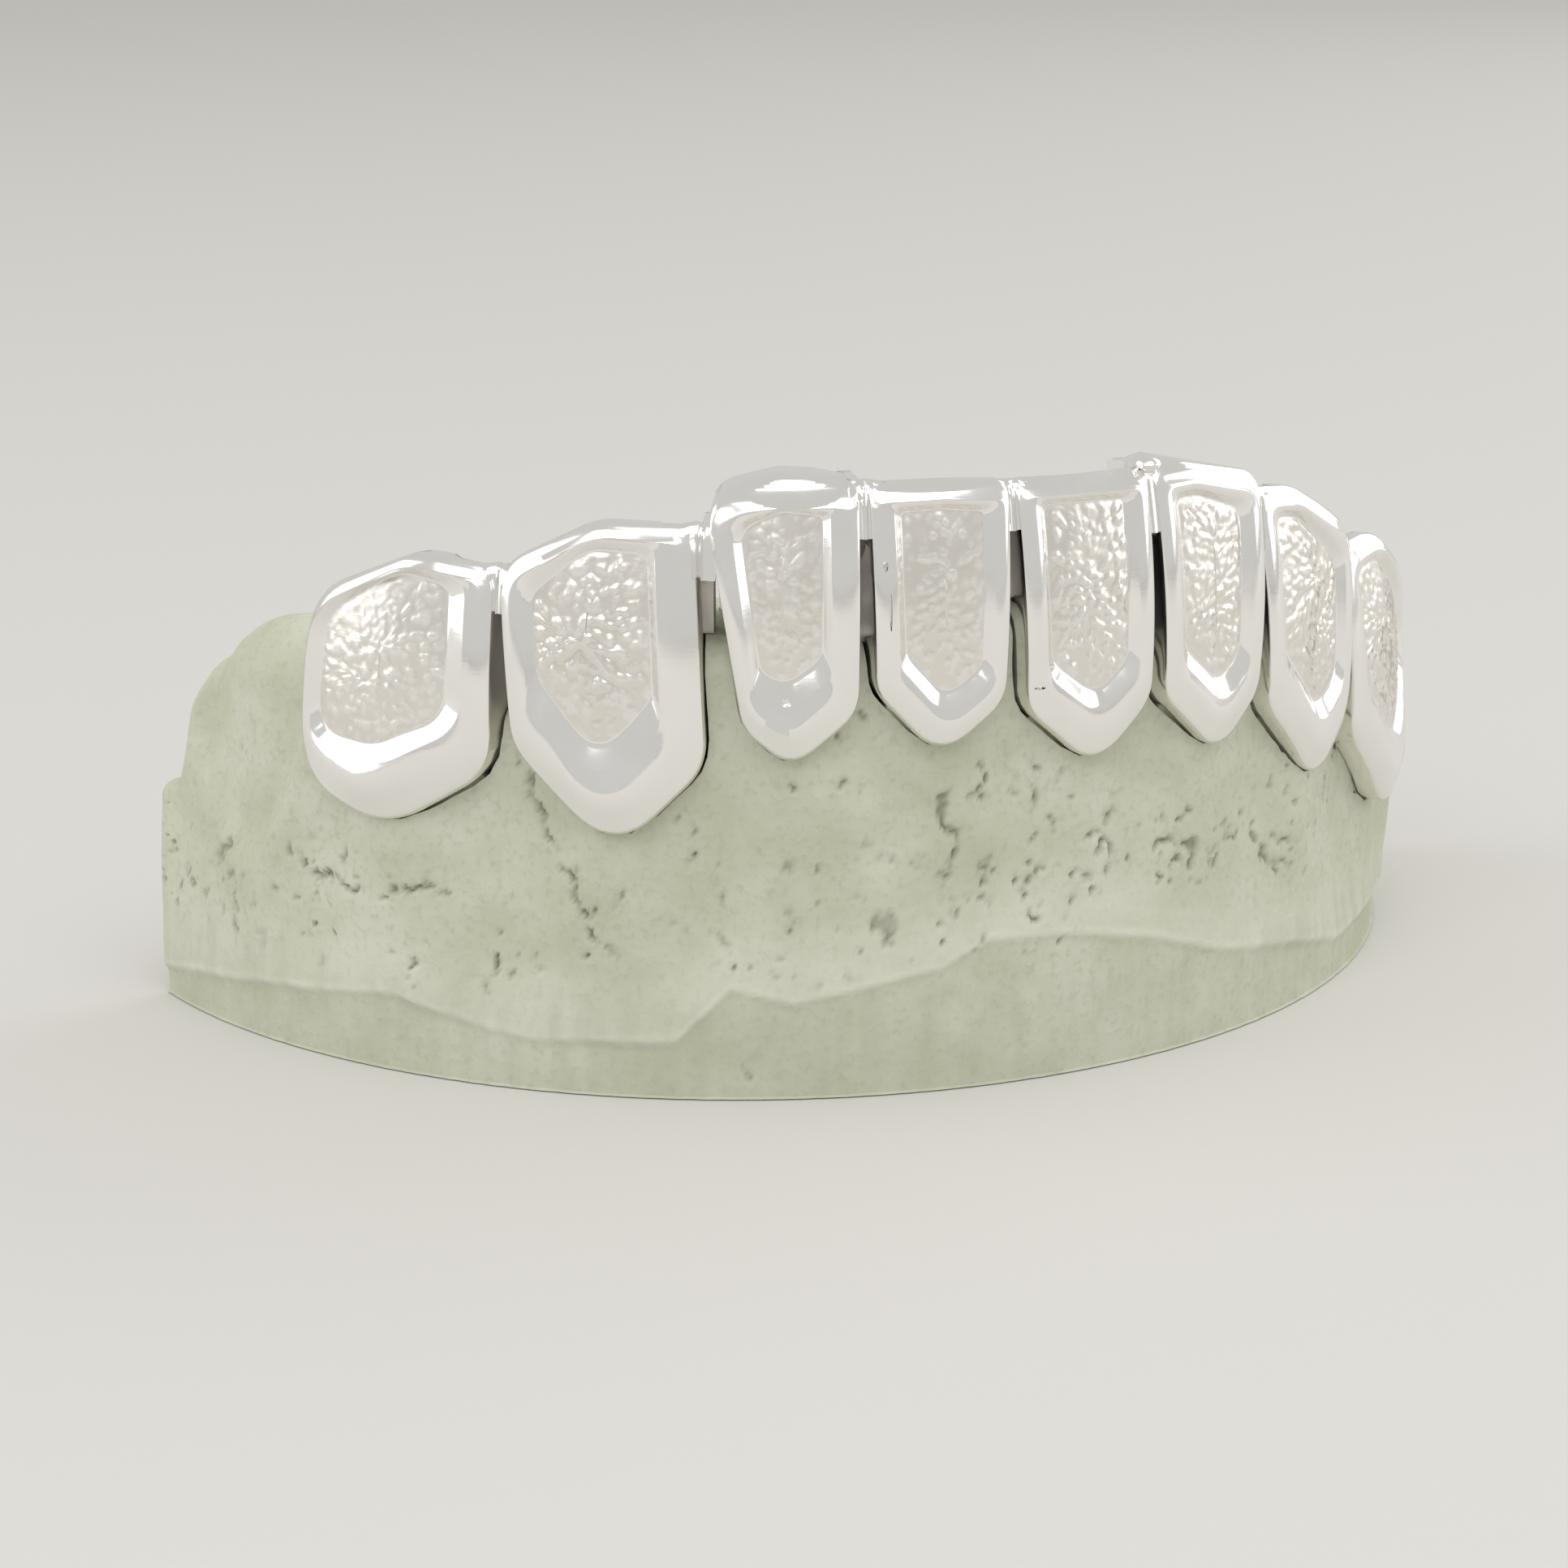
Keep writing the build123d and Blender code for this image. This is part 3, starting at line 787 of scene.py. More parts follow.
def grain_tree(window_material, polished_material):
    """Node tree that raises nugget grain on the window floors, along the surface."""
    tree, add, given = begin_tree("Nugget grain", ("Grain spacing", "Grain rise"))
    place = add("GeometryNodeInputPosition")
    scale, _, moved = stray_cells(add, place, given["Grain spacing"], 1.0)
    cells = add("ShaderNodeTexVoronoi", {"Vector": moved, "Scale": scale, "Smoothness": 0.35}, feature="SMOOTH_F1")
    nugget = add(RANGE, {"Value": cells, "From Min": 0.15, "From Max": 0.75, "To Min": 1.0, "To Max": 0.0},
                 interpolation_type="SMOOTHSTEP")
    broad = add(MATH, {0: scale, 1: 0.45}, operation="MULTIPLY")
    swell = add(NOISE, {"Vector": place, "Scale": broad, "Detail": 2.0})
    both = add(MATH, {0: nugget, 1: swell}, operation="MULTIPLY")
    share = add("GeometryNodeInputNamedAttribute", {"Name": "grain"}, data_type="FLOAT")
    lift = both
    for factor in (given["Grain rise"], share):
        lift = add(MATH, {0: lift, 1: factor}, operation="MULTIPLY")
    offset = add(VECTOR, {0: add("GeometryNodeInputNormal"), "Scale": lift}, operation="SCALE")
    kept = add("GeometryNodeStoreNamedAttribute", {"Geometry": given["Geometry"], "Name": "nugget", "Value": both},
               data_type="FLOAT", domain="POINT")
    raised = add("GeometryNodeSetPosition", {"Geometry": kept, "Offset": offset})
    whole = add("GeometryNodeRealizeInstances", {"Geometry": raised})
    floor = add("FunctionNodeCompare", {"A": share, "B": 0.01}, operation="GREATER_THAN")
    polished = add("GeometryNodeSetMaterial", {"Geometry": whole, "Material": polished_material})
    dressed = add("GeometryNodeSetMaterial", {"Geometry": polished, "Selection": floor, "Material": window_material})
    add("NodeGroupOutput", {"Geometry": dressed})
    return tree


def make_silver(name, colours, roughness, scratch, hollows=None):
    """Cast sterling silver: nearly white, with fine wheel scratches and, on a nugget texture, dull hollows."""
    material, add, place = begin_material(name)
    # Wheel scratches are about 0.05 mm apart and run along the arch; drawn at 0.12 mm so that they show
    stretched = add("ShaderNodeMapping", {"Vector": place, "Scale": (1.0, 1.0, 5.0)})
    scratches = add(NOISE, {"Vector": stretched, "Scale": 1 / (0.6 * MM), "Detail": 3.0})
    haze = add(NOISE, {"Vector": place, "Scale": 1 / (1.5 * MM), "Detail": 3.0})
    rough = add(RANGE, {"Value": haze, "From Min": 0.3, "From Max": 0.7, "To Min": roughness * 0.7,
                        "To Max": roughness * 1.3})
    tint = add("ShaderNodeMix", {0: haze, 6: linear(colours[0]), 7: linear(colours[1])},
               data_type="RGBA").outputs[2]
    if hollows:
        raised = add("ShaderNodeAttribute", attribute_name="nugget").outputs["Fac"]
        share = add(RANGE, {"Value": raised, "From Min": 0.12, "From Max": 0.38})
        tint = add("ShaderNodeMix", {0: share, 6: linear(hollows), 7: tint}, data_type="RGBA").outputs[2]
    bump = add("ShaderNodeBump", {"Height": scratches, "Strength": scratch, "Distance": 0.02 * MM})
    skin = add("ShaderNodeBsdfPrincipled", {"Metallic": 1.0, "Roughness": rough, "Base Color": tint, "Normal": bump})
    add("ShaderNodeOutputMaterial", {"Surface": skin})
    return material


# Crest of the gum ridge: angles and heights above the gum line in crown lengths, bare teeth included
RIDGE_ANGLES = (-90, -78.3, -77.5, -76.9, -76.2, -75.2, -73.5, -71.7, -69.5, -67, -64.5, -62, -60, -58, -56,
                -50, -41, -25, -12, 0, 12, 25, 39, 50, 57, 60, 66, 72, 75, 90)
RIDGE_RISES = (-0.38, -0.38, -0.36, -0.30, -0.16, 0.04, 0.15, 0.23, 0.28, 0.31, 0.325, 0.32, 0.31, 0.26, 0.0,
               -0.04, 0.14, 0.42, 0.40, 0.50, 0.31, 0.19, 0.01, -0.27, -0.22, 0.05, 0.10, 0.02, -0.30, -0.40)

# Upper edge of the trimmed band: angles and heights in millimetres
BAND_ANGLES = (-80, -74, -62.6, -50.7, -42, -38, -27, -22.7, -18, -13.6, -6.2, -2.2, 5.6, 12.7, 20.5, 31.6, 40, 80)
BAND_HEIGHTS = (0.9, 1.4, 2.0, 2.6, 1.9, 1.7, 1.9, 3.7, 3.2, 3.5, 4.1, 4.9, 4.7, 4.1, 3.0, 2.2, 1.4, 2.0)

# Middles of the roots that swell the gum, and how far each swells it
ROOTS = ((-80, 0.4), (-65.5, 0.45), (-49, 0.5), (-33, 0.5), (-18.6, 0.34), (-6, 0.28), (6, 0.3), (18.5, 0.34),
         (32, 0.5), (48, 0.45), (57, 1.0), (67, 0.7))
ROOT_SPREAD = 4.2

# How far the gum stands over the trimmed band, and the bare teeth inside their gum margins
LEDGE = 0.12
BARE_STEP = 0.6
MARGIN_LOW = 6.3
MARGIN_AT = 66.9
MARGIN_ARCH = 0.09

# The bare teeth start at this angle to either side and have their full form so many degrees on
BARE_FROM = 57
BARE_RUN = 3

# Rounding of the ridge's outer shoulder, at angles to either side, and of its inner one
SHOULDER_ANGLES = (57, 60, 76, 77.5)
SHOULDER_ROUNDS = (1.1, 2.0, 1.6, 0.6)
INNER_ROUND = 1.6

# How far the roots may stand out of the band at the front, and how much more at the ends: from this angle on,
# in full so many degrees on
ROOT_LIMIT = 0.25
ROOT_LIMIT_ENDS = 0.45
ENDS_FROM = 45
ENDS_RUN = 15

# The outer wall: rounding of its foot, blend of its step over the band, height over which it leans in to the
# ridge, height under the ridge that draws in and by how much, blend at the bare teeth's margins
FOOT_ROUND = 0.12
BAND_BLEND = 0.06
LEAN_HEIGHT = 5.0
NECK_HEIGHT = 3.0
NECK_DRAW = 0.10
MARGIN_BLEND = 0.3
EXP_LIMIT = 60         # largest exponent that a blend takes

# Dip of the ridge's top between the bare teeth's edges, and wave of the tongue side
TOP_DIP = 0.12
TONGUE_WAVE = 0.15

# Rows of the section: over the shoulder, the top, the inner rounding, the tongue side and the foot, where
# the last of them would be the first row again
SHOULDER_ROWS, TOP_ROWS, INNER_ROWS, TONGUE_ROWS, FOOT_ROWS = 10, 8, 7, 25, 6


def even_shares(count):
    """Equal steps up to 1."""
    return np.linspace(0, 1, count + 1)[1:]


def root_swell(angle):
    """Swelling of the gum over the roots, at angles round the arch."""
    return sum(rise * np.exp(-(((angle - at) / ROOT_SPREAD) ** 2)) for at, rise in ROOTS)


def stone_section(angle, stone):
    """Radius and height of the cast's section at angles round the arch, from its foot round to its foot."""
    crest = GUM_LEVEL + CROWN_LENGTH * np.interp(angle, RIDGE_ANGLES, RIDGE_RISES)
    band = np.interp(angle, BAND_ANGLES, BAND_HEIGHTS)
    swell = root_swell(angle)
    bare = np.clip((abs(angle) - BARE_FROM) / BARE_RUN, 0, 1)
    turn = np.interp(abs(angle), SHOULDER_ANGLES, SHOULDER_ROUNDS)
    limit = WALL_RADIUS + ROOT_LIMIT + ROOT_LIMIT_ENDS * np.clip((abs(angle) - ENDS_FROM) / ENDS_RUN, 0, 1)
    level = 0 * angle
    rows = [(WALL_RADIUS - FOOT_ROUND + level, level), (WALL_RADIUS - 0.03 + level, 0.04 + level)]
    for share in np.linspace(0, 1, stone.wall_rows):
        level = FOOT_ROUND + (crest - turn - FOOT_ROUND) * share
        above = level - band
        step = 1 / (1 + np.exp(np.clip(-above / BAND_BLEND, -EXP_LIMIT, EXP_LIMIT)))
        fade = np.clip(above / LEAN_HEIGHT, 0, 1)
        lean = (WALL_RADIUS - RIDGE_FRONT) * fade**0.8
        neck = np.clip((level - (crest - turn - NECK_HEIGHT)) / NECK_HEIGHT, 0, 1)
        radius = WALL_RADIUS - LEDGE * (1 - step) - step * (lean - swell * (0.2 + 0.8 * fade) + NECK_DRAW * neck)
        margin = MARGIN_LOW + MARGIN_ARCH * (abs(angle) - MARGIN_AT) ** 2
        under = np.clip((margin - level) / MARGIN_BLEND, -EXP_LIMIT, EXP_LIMIT)
        radius = radius - BARE_STEP * bare / (1 + np.exp(under))
        rows.append((np.minimum(radius, limit), level))
    outer = rows[-1][0]
    for share in even_shares(SHOULDER_ROWS):
        lift = radians(90 * share)
        rows.append((outer - turn * (1 - cos(lift)), crest - turn + turn * sin(lift)))
    start = outer - turn
    end = RIDGE_INNER + INNER_ROUND
    for share in even_shares(TOP_ROWS):
        rows.append((start + (end - start) * share, crest - TOP_DIP * sin(np.pi * share) * bare))
    for share in even_shares(INNER_ROWS):
        lift = radians(90 * share)
        rows.append((end - INNER_ROUND * sin(lift), crest - INNER_ROUND * (1 - cos(lift))))
    for share in even_shares(TONGUE_ROWS):
        level = (crest - INNER_ROUND) * (1 - share)
        foot = np.clip(1 - level / (crest - INNER_ROUND), 0, 1)
        inner = RIDGE_INNER - (RIDGE_INNER - TONGUE_RADIUS) * foot**1.3
        rows.append((inner + TONGUE_WAVE * np.sin(4 * foot * np.pi) * (1 - foot), level))
    for share in even_shares(FOOT_ROWS)[:-1]:
        rows.append((TONGUE_RADIUS + (WALL_RADIUS - TONGUE_RADIUS) * share, 0 * angle))
    return rows


# Half of the arch that a first section is drawn over, to find how far round each of its rows reaches
NOMINAL_SPAN = 70


def add_sweep(stone):
    """Body of the cast: its section swept round the arch and trimmed flat at the back."""
    across = np.linspace(-1, 1, stone.columns)
    points = []
    for k, (nominal, _) in enumerate(stone_section(across * NOMINAL_SPAN, stone)):
        angle = across * np.degrees(np.arccos(BACK_CUT / np.mean(nominal)))
        radius, level = stone_section(angle, stone)[k]
        turn = np.radians(angle)
        x, y = radius * np.sin(turn), ARCH_CENTRE - radius * np.cos(turn)
        y[0] = y[-1] = ARCH_CENTRE - BACK_CUT
        points.append(np.stack([x, y, level], axis=1))
    count = len(across)
    quads = []
    here = np.arange(count - 1)
    for k in range(len(points)):
        a, b = k * count, (k + 1) % len(points) * count
        quads.append(np.stack([a + here, a + here + 1, b + here + 1, b + here], axis=1))
    cast = new_object("stone_cast_dressed", np.concatenate(points) * MM, np.concatenate(quads))
    face_outwards(cast)
    return cast


# Pits and cracks of the cast, charted: half width in millimetres, then the angle and height of each
# point along it
MARKS = [
    (0.09, (-39.3, 10.94), (-37.3, 8.84), (-36.0, 7.92)), (0.1, (-35.7, 7.66), (-34.4, 6.46), (-32.8, 5.13)),
    (0.08, (-32.8, 5.13), (-31.1, 4.61)), (0.1, (-60.0, 5.89), (-57.6, 6.21), (-55.9, 5.9), (-53.4, 5.86)),
    (0.09, (-51.4, 5.78), (-48.6, 6.36), (-45.6, 6.28)), (0.1, (-41.2, 4.36), (-41.5, 3.85), (-42.3, 3.12)),
    (0.09, (-48.5, 4.05), (-48.6, 3.2)), (0.08, (-37.8, 4.49), (-37.8, 4.01)), (0.08, (-25.2, 8.65), (-25.7, 7.7)),
    (0.12, (-5.6, 9.86), (-6.6, 9.01), (-4.7, 8.47), (-5.5, 7.33), (-6.7, 7.03)), (0.1, (-2.6, 7.01), (-3.1, 6.49)),
    (0.1, (5.5, 6.19), (4.4, 5.28)), (0.09, (3.6, 10.23), (3.6, 9.55), (4.5, 9.23)),
    (0.1, (1.4, 10.47), (2.0, 9.63), (1.5, 9.04)), (0.09, (-2.9, 10.64), (-2.5, 9.95), (-3.7, 9.45)),
    (0.12, (9.2, 8.49), (6.0, 7.84)), (0.12, (8.6, 7.27), (8.3, 6.45)),
    (0.12, (13.0, 7.19), (16.7, 7.0), (17.7, 6.57), (16.5, 6.23)), (0.1, (24.9, 7.05), (26.2, 5.92), (27.9, 5.04)),
    (0.09, (27.7, 6.3), (29.4, 5.93)), (0.09, (19.1, 6.6), (21.1, 6.65), (23.2, 6.83)),
    (0.09, (4.9, 6.72), (6.9, 6.53)), (0.1, (-11.2, 7.77), (-9.6, 7.53)), (0.09, (-12.5, 8.14), (-11.9, 8.33)),
    (0.12, (0.1, 6.76), (1.0, 6.44), (1.6, 6.9)), (0.13, (-50.5, 3.93)), (0.12, (-33.8, 4.66)),
    (0.15, (-31.3, 6.33)), (0.11, (-30.8, 6.68)), (0.15, (-27.1, 9.21)), (0.13, (-68.5, 9.43)),
    (0.12, (-41.3, 5.09)), (0.16, (-21.6, 0.9)), (0.13, (-67.5, 4.31)), (0.11, (-62.6, 5.3)),
    (0.11, (-72.1, 4.32)), (0.12, (-54.0, 6.32)), (0.13, (-38.0, 7.86)), (0.1, (-70.0, 4.18)),
    (0.1, (-64.8, 4.5)), (0.1, (-57.1, 5.18)), (0.18, (-14.1, 10.33)), (0.14, (-12.5, 10.02)),
    (0.15, (-12.7, 12.36)), (0.1, (-14.0, 11.81)), (0.17, (-2.5, 9.54)), (0.13, (0.2, 9.64)),
    (0.13, (0.2, 9.23)), (0.15, (8.7, 9.03)), (0.17, (23.5, 7.36)), (0.2, (21.2, 7.03)), (0.12, (3.2, 8.57)),
    (0.2, (-18.1, 7.61)), (0.13, (-15.7, 7.42)), (0.14, (-8.0, 7.69)), (0.12, (-2.1, 7.61)), (0.15, (1.2, 7.33)),
    (0.12, (1.3, 8.01)), (0.15, (17.1, 6.89)), (0.16, (16.8, 6.23)), (0.14, (32.6, 4.55)), (0.13, (30.2, 7.09)),
    (0.12, (4.3, 5.25)), (0.11, (4.4, 4.58)), (0.2, (-18.0, 6.11)), (0.13, (-18.0, 5.63)), (0.12, (-3.4, 4.65)),
    (0.11, (5.6, 7.65)), (0.13, (13.9, 6.71)), (0.12, (-17.9, 10.34)),
]


# A stretch of a mark reaches no further than this from its middle, in millimetres. A mark is at its full
# depth in its middle and ends at this many half widths
MARK_REACH = 2
MARK_EDGE = 1.3


def mark_depth(angle, level):
    """Share of a mark's full depth, at angles round the arch and heights."""
    around = WALL_RADIUS * np.radians(angle)
    # Waves of up to 0.15 mm bend the straight stretches
    across = around + 0.10 * np.sin(6 * level) + 0.05 * np.sin(15 * level + 2 * around)
    level = level + 0.10 * np.sin(5 * around) + 0.05 * np.sin(13 * around + 1)
    depth = np.zeros(len(angle))
    for half, *points in MARKS:
        path = [(WALL_RADIUS * radians(at), up) for at, up in points]
        for (x0, z0), (x1, z1) in zip(path, path[1:] or path):
            near = (abs(across - (x0 + x1) / 2) < MARK_REACH) & (abs(level - (z0 + z1) / 2) < MARK_REACH)
            run = max((x1 - x0) ** 2 + (z1 - z0) ** 2, 1e-9)
            dx, dz = across[near] - x0, level[near] - z0
            share = np.clip((dx * (x1 - x0) + dz * (z1 - z0)) / run, 0, 1)
            gap = np.hypot(dx - share * (x1 - x0), dz - share * (z1 - z0))
            depth[near] = np.maximum(depth[near], np.clip(MARK_EDGE - gap / half, 0, 1))
    return depth


# Painted highlight along the ledge, where light catches it: height over the band, width, and the strength of a
# lighter band above it
LEDGE_HIGHLIGHT_AT = 0.08
LEDGE_HIGHLIGHT_WIDTH = 0.14
LIGHTER_ABOVE = 0.4


def mark_stone(cast):
    """Store the cast's marks, and a painted highlight that follows how close each point lies to the ledge over the
    trimmed band, with a lighter band above it.
    """
    x, y, z = places_of(cast.data.vertices, "co")
    angle = np.degrees(np.arctan2(x, ARCH_CENTRE - y))
    above = z - np.interp(angle, BAND_ANGLES, BAND_HEIGHTS)
    # Painted highlight along the ledge, where light catches it, and a lighter band above it
    rim = np.exp(-((above - LEDGE_HIGHLIGHT_AT) / LEDGE_HIGHLIGHT_WIDTH) ** 2)
    lighter_above = np.clip(above / 0.2, 0, 1) * np.clip(1.6 - above / 1.6, 0, 1)
    outside = np.clip(np.hypot(x, ARCH_CENTRE - y) - (WALL_RADIUS - 1.5), 0, 1)
    keep_values(cast, "rim", np.clip(rim + LIGHTER_ABOVE * lighter_above, 0, 1) * outside)
    keep_values(cast, "mark", mark_depth(angle, z) * outside)


def relief_tree(material):
    """Node tree that sinks pits, cracks and grinding lines into the cast's outer face."""
    tree, add, given = begin_tree("Stone relief", ("Pit spacing", "Pit depth", "Line spacing", "Line depth",
                                                   "Arch centre"))
    place = add("GeometryNodeInputPosition")
    centre = add("ShaderNodeCombineXYZ", {"Y": given["Arch centre"]})
    local = add(VECTOR, {0: place, 1: centre}, operation="SUBTRACT")
    flat = add(VECTOR, {0: local, 1: (1, 1, 0)}, operation="MULTIPLY")
    radius = add(VECTOR, {0: flat}, operation="LENGTH").outputs["Value"]
    parts = add("ShaderNodeSeparateXYZ", {0: local}).outputs
    outer = add(RANGE, {"Value": radius, "From Min": 19.0 * MM, "From Max": 22.0 * MM})
    # Pits: some cells of a pattern become round holes of different sizes
    scale, warp, moved = stray_cells(add, place, given["Pit spacing"], 2.0)
    cells = add("ShaderNodeTexVoronoi", {"Vector": moved, "Scale": scale}, feature="F1")
    pick = add("FunctionNodeSeparateColor", {0: cells.outputs["Color"]})
    size = add(RANGE, {"Value": pick, "From Min": 0.55, "From Max": 1.0, "To Min": 0.0, "To Max": 0.30})
    inside = add(MATH, {0: size, 1: cells}, operation="SUBTRACT")
    pits = add(RANGE, {"Value": inside, "From Min": 0.0, "From Max": 0.15})
    # Cracks: short stretches of the borders between larger cells
    upright = add(VECTOR, {0: moved, 1: (1, 1, 0.55)}, operation="MULTIPLY")
    wide = add(MATH, {0: scale, 1: 0.55}, operation="MULTIPLY")
    edges = add("ShaderNodeTexVoronoi", {"Vector": upright, "Scale": wide}, feature="DISTANCE_TO_EDGE")
    thin = add(RANGE, {"Value": edges.outputs["Distance"], "From Min": 0.09, "From Max": 0.03})
    broad = add(MATH, {0: scale, 1: 0.5}, operation="MULTIPLY")
    patch = add(NOISE, {"Vector": place, "Scale": broad, "Detail": 2.0})
    some = add(RANGE, {"Value": patch, "From Min": 0.59, "From Max": 0.66})
    cracks = add(MATH, {0: thin, 1: some}, operation="MULTIPLY")
    holes = add(MATH, {0: pits, 1: cracks}, operation="MAXIMUM")
    # They gather in a belt between the trimmed band and the caps
    tilt = add(MATH, {0: parts["X"], 1: 0.06}, operation="MULTIPLY")
    level = add(MATH, {0: parts["Z"], 1: tilt}, operation="SUBTRACT")
    belt = add(RANGE, {"Value": level, "From Min": 3.8 * MM, "From Max": 5.0 * MM})
    high = add(RANGE, {"Value": level, "From Min": 8.8 * MM, "From Max": 7.6 * MM})
    density = add(NOISE, {"Vector": place, "Scale": 1 / (4.0 * MM), "Detail": 1.0})
    often = add(RANGE, {"Value": density, "From Min": 0.36, "From Max": 0.5})
    for share in (high, often, outer):
        belt = add(MATH, {0: belt, 1: share}, operation="MULTIPLY")
    pitted = add(MATH, {0: holes, 1: belt}, operation="MULTIPLY")
    # The listed marks are broken up by the same noise
    mark = add("GeometryNodeInputNamedAttribute", {"Name": "mark"}, data_type="FLOAT")
    broken = add(RANGE, {"Value": warp, "From Min": 0.42, "From Max": 0.56, "To Min": 0.1})
    broken = add(MATH, {0: mark, 1: broken}, operation="MULTIPLY")
    pitted = add(MATH, {0: pitted, 1: broken}, operation="MAXIMUM")
    # Grinding lines run up the trimmed band
    angle = add(MATH, {0: parts["X"], 1: parts["Y"]}, operation="ARCTAN2")
    around = add(MATH, {0: angle, 1: radius}, operation="MULTIPLY")
    slow = add(MATH, {0: parts["Z"], 1: 0.06}, operation="MULTIPLY")
    unrolled = add("ShaderNodeCombineXYZ", {"X": around, "Z": slow})
    fine = add(MATH, {0: 1.0, 1: given["Line spacing"]}, operation="DIVIDE")
    ground = add(NOISE, {"Vector": unrolled, "Scale": fine, "Detail": 3.0})
    foot = add(RANGE, {"Value": parts["Z"], "From Min": 5.0 * MM, "From Max": 2.5 * MM})
    for share in (foot, outer):
        ground = add(MATH, {0: ground, 1: share}, operation="MULTIPLY")
    # Gentle unevenness everywhere above the foot
    soft = add(NOISE, {"Vector": place, "Scale": 1 / (2.2 * MM), "Detail": 4.0})
    total = add(RANGE, {"Value": soft, "To Min": -0.12 * MM, "To Max": 0.12 * MM})
    stands = add(RANGE, {"Value": parts["Z"], "From Min": 0.1 * MM, "From Max": 1.0 * MM})
    for share in (stands, outer):
        total = add(MATH, {0: total, 1: share}, operation="MULTIPLY")
    cuts = [add(MATH, {0: form, 1: given[depth]}, operation="MULTIPLY")
            for form, depth in ((pitted, "Pit depth"), (ground, "Line depth"))]
    for cut in cuts:
        total = add(MATH, {0: total, 1: cut}, operation="SUBTRACT")
    offset = add(VECTOR, {0: add("GeometryNodeInputNormal"), "Scale": total}, operation="SCALE")
    kept = given["Geometry"]
    # pit also drives the painted shade in the pits and cracks
    for name, value in (("pit", pitted), ("ground", ground)):
        kept = add("GeometryNodeStoreNamedAttribute", {"Geometry": kept, "Name": name, "Value": value},
                   data_type="FLOAT", domain="POINT")
    worn = add("GeometryNodeSetPosition", {"Geometry": kept, "Offset": offset})
    whole = add("GeometryNodeRealizeInstances", {"Geometry": worn})
    dressed = add("GeometryNodeSetMaterial", {"Geometry": whole, "Material": material})
    add("NodeGroupOutput", {"Geometry": dressed})
    return tree


def make_stone():
    """Dental stone cast in a mould and ground at its foot: matt, chalky and slightly mottled, with fine pores."""
    material, add, place = begin_material("Dental stone, cast and trimmed")
    clouds = add(NOISE, {"Vector": place, "Scale": 1 / (3.5 * MM), "Detail": 5.0, "Roughness": 0.6})
    cloudy = add(RANGE, {"Value": clouds, "From Min": 0.35, "From Max": 0.65})
    colour = add("ShaderNodeMix", {0: cloudy, 6: linear("BDC0AA"), 7: linear("CED0BF")}, data_type="RGBA").outputs[2]
    # Specks of the powder are about 0.05 mm; drawn at 0.25 mm so that they show
    specks = add(NOISE, {"Vector": place, "Scale": 1 / (0.25 * MM), "Detail": 4.0})
    speckled = add(RANGE, {"Value": specks, "From Min": 0.52, "From Max": 0.72, "To Max": 0.45})
    # rim holds the painted highlight along the ledge and the lighter band above it
    rim, ground, pit = [add("ShaderNodeAttribute", attribute_name=name).outputs["Fac"]
                        for name in ("rim", "ground", "pit")]
    worn = add(RANGE, {"Value": ground, "From Min": 0.3, "From Max": 0.7, "To Max": 0.5})
    # Painted shade in the pits and cracks: the colour darkens where the relief sinks them
    shade = add(MATH, {0: pit, 1: 0.7}, operation="MULTIPLY")
    # Specks, the painted highlight along the ledge, the ground foot and the painted shade in the pits, each over the
    # last
    for share, tint in ((speckled, "ABAF99"), (rim, "DCDDCE"), (worn, "B4B7A4"), (shade, "7C7F6C")):
        colour = add("ShaderNodeMix", {0: share, 6: colour, 7: linear(tint)}, data_type="RGBA").outputs[2]
    grit = add("ShaderNodeBump", {"Height": specks, "Strength": 0.5, "Distance": 0.05 * MM})
    skin = add("ShaderNodeBsdfPrincipled", {"Base Color": colour, "Roughness": 0.85, "IOR": 1.5, "Normal": grit})
    add("ShaderNodeOutputMaterial", {"Surface": skin})
    return material


class SilverSizes(bpy.types.PropertyGroup):
    """Sizes and finish of the silver casting."""

    window_sink: bpy.props.FloatProperty(
        name="Window depth", description="Depth of the sunk windows, in millimetres", default=0.32, min=0.1, max=0.5)
    frame_crown: bpy.props.FloatProperty(
        name="Frame crown", description="Rise of the polished frame between its edges, in millimetres",
        default=0.07, min=0, max=0.2)
    edge_round: bpy.props.FloatProperty(
        name="Edge rounding", description="Rounding of a cap's outer edge, in millimetres",
        default=0.30, min=0.1, max=0.5)
    slit_round: bpy.props.FloatProperty(
        name="Slit rounding", description="Rounding of a cap's edges along the slits, in millimetres",
        default=0.07, min=0.05, max=0.4)
    bite_round: bpy.props.FloatProperty(
        name="Bite rounding", description="Rounding of a cap's biting edge, in millimetres",
        default=0.45, min=0.1, max=0.8)
    grain_step: bpy.props.FloatProperty(
        name="Grain mesh", description="Spacing of the mesh on a window's floor, in millimetres",
        default=0.078, min=0.05, max=0.3)
    grain_spacing: bpy.props.FloatProperty(
        name="Grain spacing", description="Spacing of the nuggets", default=0.27 * MM, unit="LENGTH", precision=5)
    grain_rise: bpy.props.FloatProperty(
        name="Grain rise", description="Height of the nuggets", default=0.11 * MM, unit="LENGTH", precision=5)
    roughness: bpy.props.FloatProperty(
        name="Roughness", description="Roughness of the polished silver", default=0.13, min=0, max=1,
        subtype="FACTOR")


